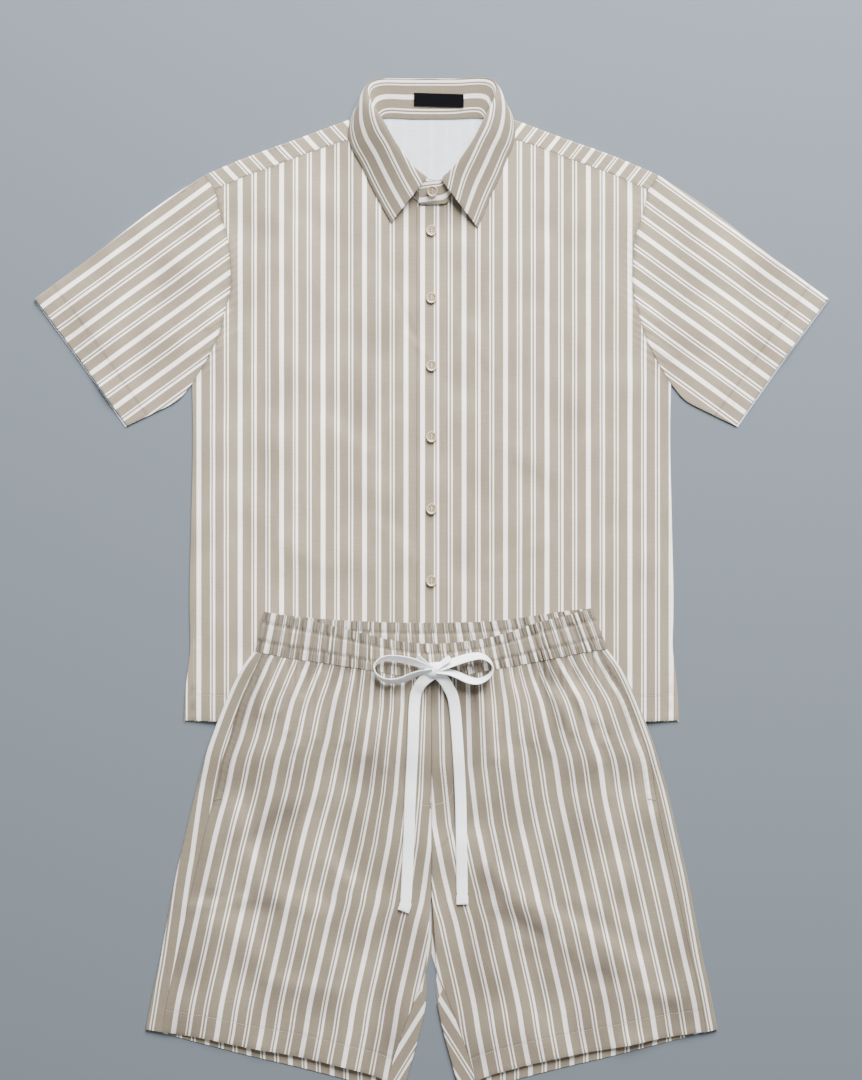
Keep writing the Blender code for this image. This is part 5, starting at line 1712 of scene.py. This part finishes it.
def stitch_group():
    group = bpy.data.node_groups.new("sew_lines", "GeometryNodeTree")
    face = group.interface
    face.new_socket("Geometry", in_out="INPUT", socket_type="NodeSocketGeometry")
    for title, value in (("Spacing", 0.0032), ("Length", 2.2), ("Thickness", 0.4), ("Turn", 0.0)):
        socket = face.new_socket(title, in_out="INPUT", socket_type="NodeSocketFloat")
        socket.default_value = value
    seed = face.new_socket("Seed", in_out="INPUT", socket_type="NodeSocketInt")
    seed.default_value = STITCH_SEED
    face.new_socket("Thread", in_out="INPUT", socket_type="NodeSocketObject")
    face.new_socket("Material", in_out="INPUT", socket_type="NodeSocketMaterial")
    face.new_socket("Geometry", in_out="OUTPUT", socket_type="NodeSocketGeometry")
    nodes, links = group.nodes, group.links
    source, result = nodes.new("NodeGroupInput"), nodes.new("NodeGroupOutput")
    to_curve = nodes.new("GeometryNodeMeshToCurve")
    points = nodes.new("GeometryNodeCurveToPoints")
    points.mode = "LENGTH"
    unit_info = nodes.new("GeometryNodeObjectInfo")
    place = nodes.new("GeometryNodeInstanceOnPoints")
    turn = nodes.new("FunctionNodeAlignRotationToVector")
    turn.axis = "X"
    spin = nodes.new("FunctionNodeRotateRotation")
    spin.rotation_space = "LOCAL"
    euler = nodes.new("FunctionNodeEulerToRotation")
    angle = nodes.new("ShaderNodeCombineXYZ")
    jitter = nodes.new("FunctionNodeRandomValue")
    jitter.data_type = "FLOAT"
    jitter.inputs[2].default_value = -STITCH_SWAY
    jitter.inputs[3].default_value = STITCH_SWAY
    add = nodes.new("ShaderNodeMath")
    size = nodes.new("ShaderNodeCombineXYZ")
    real = nodes.new("GeometryNodeRealizeInstances")
    paint = nodes.new("GeometryNodeSetMaterial")
    for start, end in (
            (source.outputs["Geometry"], to_curve.inputs["Mesh"]),
            (to_curve.outputs["Curve"], points.inputs["Curve"]),
            (source.outputs["Spacing"], points.inputs["Length"]),
            (source.outputs["Thread"], unit_info.inputs["Object"]),
            (points.outputs["Points"], place.inputs["Points"]),
            (unit_info.outputs["Geometry"], place.inputs["Instance"]),
            (points.outputs["Tangent"], turn.inputs["Vector"]),
            (source.outputs["Seed"], jitter.inputs["Seed"]),
            (source.outputs["Turn"], add.inputs[0]),
            (jitter.outputs[1], add.inputs[1]),
            (add.outputs[0], angle.inputs["Z"]),
            (angle.outputs[0], euler.inputs[0]),
            (turn.outputs["Rotation"], spin.inputs["Rotation"]),
            (euler.outputs[0], spin.inputs["Rotate By"]),
            (spin.outputs["Rotation"], place.inputs["Rotation"]),
            (source.outputs["Length"], size.inputs["X"]),
            (source.outputs["Thickness"], size.inputs["Y"]),
            (source.outputs["Thickness"], size.inputs["Z"]),
            (size.outputs[0], place.inputs["Scale"]),
            (place.outputs["Instances"], real.inputs["Geometry"]),
            (real.outputs["Geometry"], paint.inputs["Geometry"]),
            (source.outputs["Material"], paint.inputs["Material"]),
            (paint.outputs["Geometry"], result.inputs["Geometry"])):
        links.new(start, end)
    return group


SEW_LINES = stitch_group()
print("sewing group:", len(SEW_LINES.nodes), "nodes")

# %% [markdown]
# To sew, a seam's points become a mesh of loose edges and the group runs on it as a modifier. Its
# inputs are set by each socket's identifier. The result is kept as a plain mesh.
# %% Sew along lines
def sew(name, lines, material, spacing=3.2, length=2.3, thickness=0.42, turn=0.0):
    """Sew along lines of points in millimetres, and keep the result as plain geometry."""
    points, edges = [], []
    for line in lines:
        start = len(points)
        points += [tuple((np.array(p) + ORIGIN_SHIFT) * MM) for p in line]
        edges += [(start + k, start + k + 1) for k in range(len(line) - 1)]
    mesh = bpy.data.meshes.new(name)
    mesh.from_pydata(points, edges, [])
    seam = bpy.data.objects.new(name + "_lines", mesh)
    bpy.context.scene.collection.objects.link(seam)
    modifier = seam.modifiers.new("sewing", "NODES")
    modifier.node_group = SEW_LINES
    values = {"Spacing": spacing * MM, "Length": length, "Thickness": thickness, "Turn": turn,
              "Seed": STITCH_SEED, "Thread": THREAD_UNIT, "Material": material}
    for socket in SEW_LINES.interface.items_tree:
        if socket.in_out == "INPUT" and socket.name in values:
            modifier[socket.identifier] = values[socket.name]
    depsgraph = bpy.context.evaluated_depsgraph_get()
    ready = bpy.data.meshes.new_from_object(seam.evaluated_get(depsgraph))
    item = bpy.data.objects.new(name, ready)
    bpy.data.objects.remove(seam)
    bpy.context.scene.collection.objects.link(item)
    pieces[name] = item
    print("%-22s %6d faces" % (name, len(ready.polygons)))
    return item


def on_surface(line, height, lift=0.62):
    line = np.asarray(line, float)
    return np.column_stack([line[:, :2], height(line[:, 0], line[:, 1]) + lift])


def shirt_line(points, count=60, lift=0.62):
    return on_surface(sampled(points, count), shirt_height, lift)


# %% [markdown]
# The shirt's stitches run above the hem on both fronts, up the placket and round the side vents.
# %% Shirt stitches
shirt_lines = [
    shirt_line([(-277.5, -127), (-150, -131), (-20, -133)], 80, 0.75),
    shirt_line([(-16, -133), (150, -131), (277.5, -127)], 80, 0.95),
    shirt_line([(15.8, -161), (15.8, 443)], 200, 0.95),
    shirt_line([(-278, -63), (-277.5, -127)], 20),
    shirt_line([(278, -63), (277.5, -127)], 20),
]
sew("shirt_stitches", shirt_lines, PALE_THREAD, spacing=2.9, length=2.1, thickness=0.34)


# %% [markdown]
# The shorts have stitches above each hem, along each pocket and round the mock fly.
# %% Shorts stitches
def above_hem(plan, distance):
    """Line inside a leg's plan, at one distance from its hem."""
    rows = plan[:, ::-1]
    rise = running_length(rows, 1)
    return np.array([[np.interp(distance, along, row[:, axis]) for axis in (0, 1)]
                     for along, row in zip(rise, rows)])


leg_lines = []
for side in (-1, 1):
    hem = above_hem(front_leg_plan(side), LEG_HEM_WIDTH)
    leg_lines.append(on_surface(hem[1:-1], shorts_over, 0.85))
    seam = leg_seam(side, np.linspace(0, 0.40, 60))[3:]
    pocket = np.column_stack([(seam[:, 0] - POCKET_INSET) * side, seam[:, 1] + 1.0])
    leg_lines.append(on_surface(pocket, shorts_over))
fly = [(25.2, -121), (25.2, -180), (24.6, -238), (20, -248), (10, -254), (-4, -256), (-15.8, -256)]
leg_lines.append(on_surface(sampled(fly, 60), shorts_over))
sew("leg_stitches", leg_lines, PALE_THREAD, spacing=2.9, length=2.1, thickness=0.34)

# %% [markdown]
# A bar tack is a dense row of short threads set crosswise, which keeps a seam's end from tearing.
# There is one at the foot of each pocket and one at the fly.
# %% Bar tacks
tack_lines = []
for side in (-1, 1):
    x, y = leg_seam(side, np.array([0, 0.395]))[1]
    ends = np.array([((x - POCKET_INSET) * side, y), ((x - 1.0) * side, y - 1.5)])
    tack_lines.append(on_surface(ends, shorts_over))
tack_lines.append(on_surface(np.array([(-1, -252.5), (-1, -259)]), shorts_over))
sew("bar_tacks", tack_lines, THREAD, spacing=0.55, length=2.6, thickness=0.5, turn=math.pi / 2)

# %% [markdown]
# Two rows of stitches run along the waistband and rise and fall with its gathers.
# %% Waistband stitches
def band_line(row):
    share = band_shares()
    top, base = curve(BAND_FRONT_TOP, share), curve(BAND_FRONT_BASE, share)
    line = lerp(top, base, np.full(len(share), row))
    z = BAND_FRONT_HEIGHT + 0.55 * gather_wave(share + 0.002, 0.35) - 0.3 + 0.62
    return np.column_stack([line, z])


sew("band_stitches", [band_line(row) for row in STITCH_ROWS], THREAD,
    spacing=2.6, length=1.9, thickness=0.4)

# %% [markdown]
# Every piece rides with the laid set, and each panel stands for its imported node. The flat size of
# each panel is listed too, in metres: it is the cut that shows, before the band is gathered or the
# sleeves are folded. Its area is given where it isn't the plain product of the two sides.
# %% Tie the cloth to the imported model
CLOTH_NODES = (
    ("back_cloth", "shirt_back", (0.578, 0.600), 0.345),
    ("yoke_cloth", "shirt_yoke", (0.530, 0.150), None),
    ("front_left_cloth", "shirt_front_left", (0.306, 0.687), 0.170),
    ("front_right_cloth", "shirt_front_right", (0.306, 0.687), 0.170),
    ("sleeve_left_cloth", "sleeve_left", (0.500, 0.244), 0.098),
    ("sleeve_right_cloth", "sleeve_right", (0.500, 0.244), 0.098),
    ("stand_cloth", "collar_stand", (0.360, 0.043), None),
    ("leaf_cloth", "collar_leaf", (0.400, 0.060), None),
    ("band_cloth", "waistband", (0.990, 0.046), None),
    ("front_leg_left", "shorts_front_left", (0.315, 0.490), 0.120),
    ("front_leg_right", "shorts_front_right", (0.315, 0.490), 0.120),
    ("back_leg_left", "shorts_back_left", (0.370, 0.510), 0.145),
    ("back_leg_right", "shorts_back_right", (0.370, 0.510), 0.145),
)


def tie(piece, node=None):
    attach(piece, "root")
    if node:
        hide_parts(node)


for name, node, size, area in CLOTH_NODES:
    piece = pieces[name]
    flat_area = sum(face.area for face in piece.data.polygons) / 2
    print("%-20s %.4f m2 of %.4f" % (name, flat_area, size[0] * size[1]))
    tie(piece, node)
for name in ("shirt_stitches", "leg_stitches", "bar_tacks", "band_stitches"):
    tie(pieces[name])

# %% [markdown]
# Buttons, label and cord have finishes of their own. Each piece rides with the laid set, and each
# that has an imported node stands for it. The four cords' far ends are bare, or end in the knot.
# %% Tie the buttons, the label and the drawstring
for number, button in enumerate(buttons, start=1):
    tie(button, "button_%d" % number)
tie(collar_button, "button_collar")
tie(label_weave, "neck_label")
for piece, node in ((tail_left, "drawstring_tail_left"), (tail_right, "drawstring_tail_right"),
                    (loop_left, "drawstring_loop_left"), (loop_right, "drawstring_loop_right"),
                    (knot, "drawstring_knot"), (stub_left, None), (stub_right, None)):
    tie(piece, node)
print("pieces tied:", len(pieces))
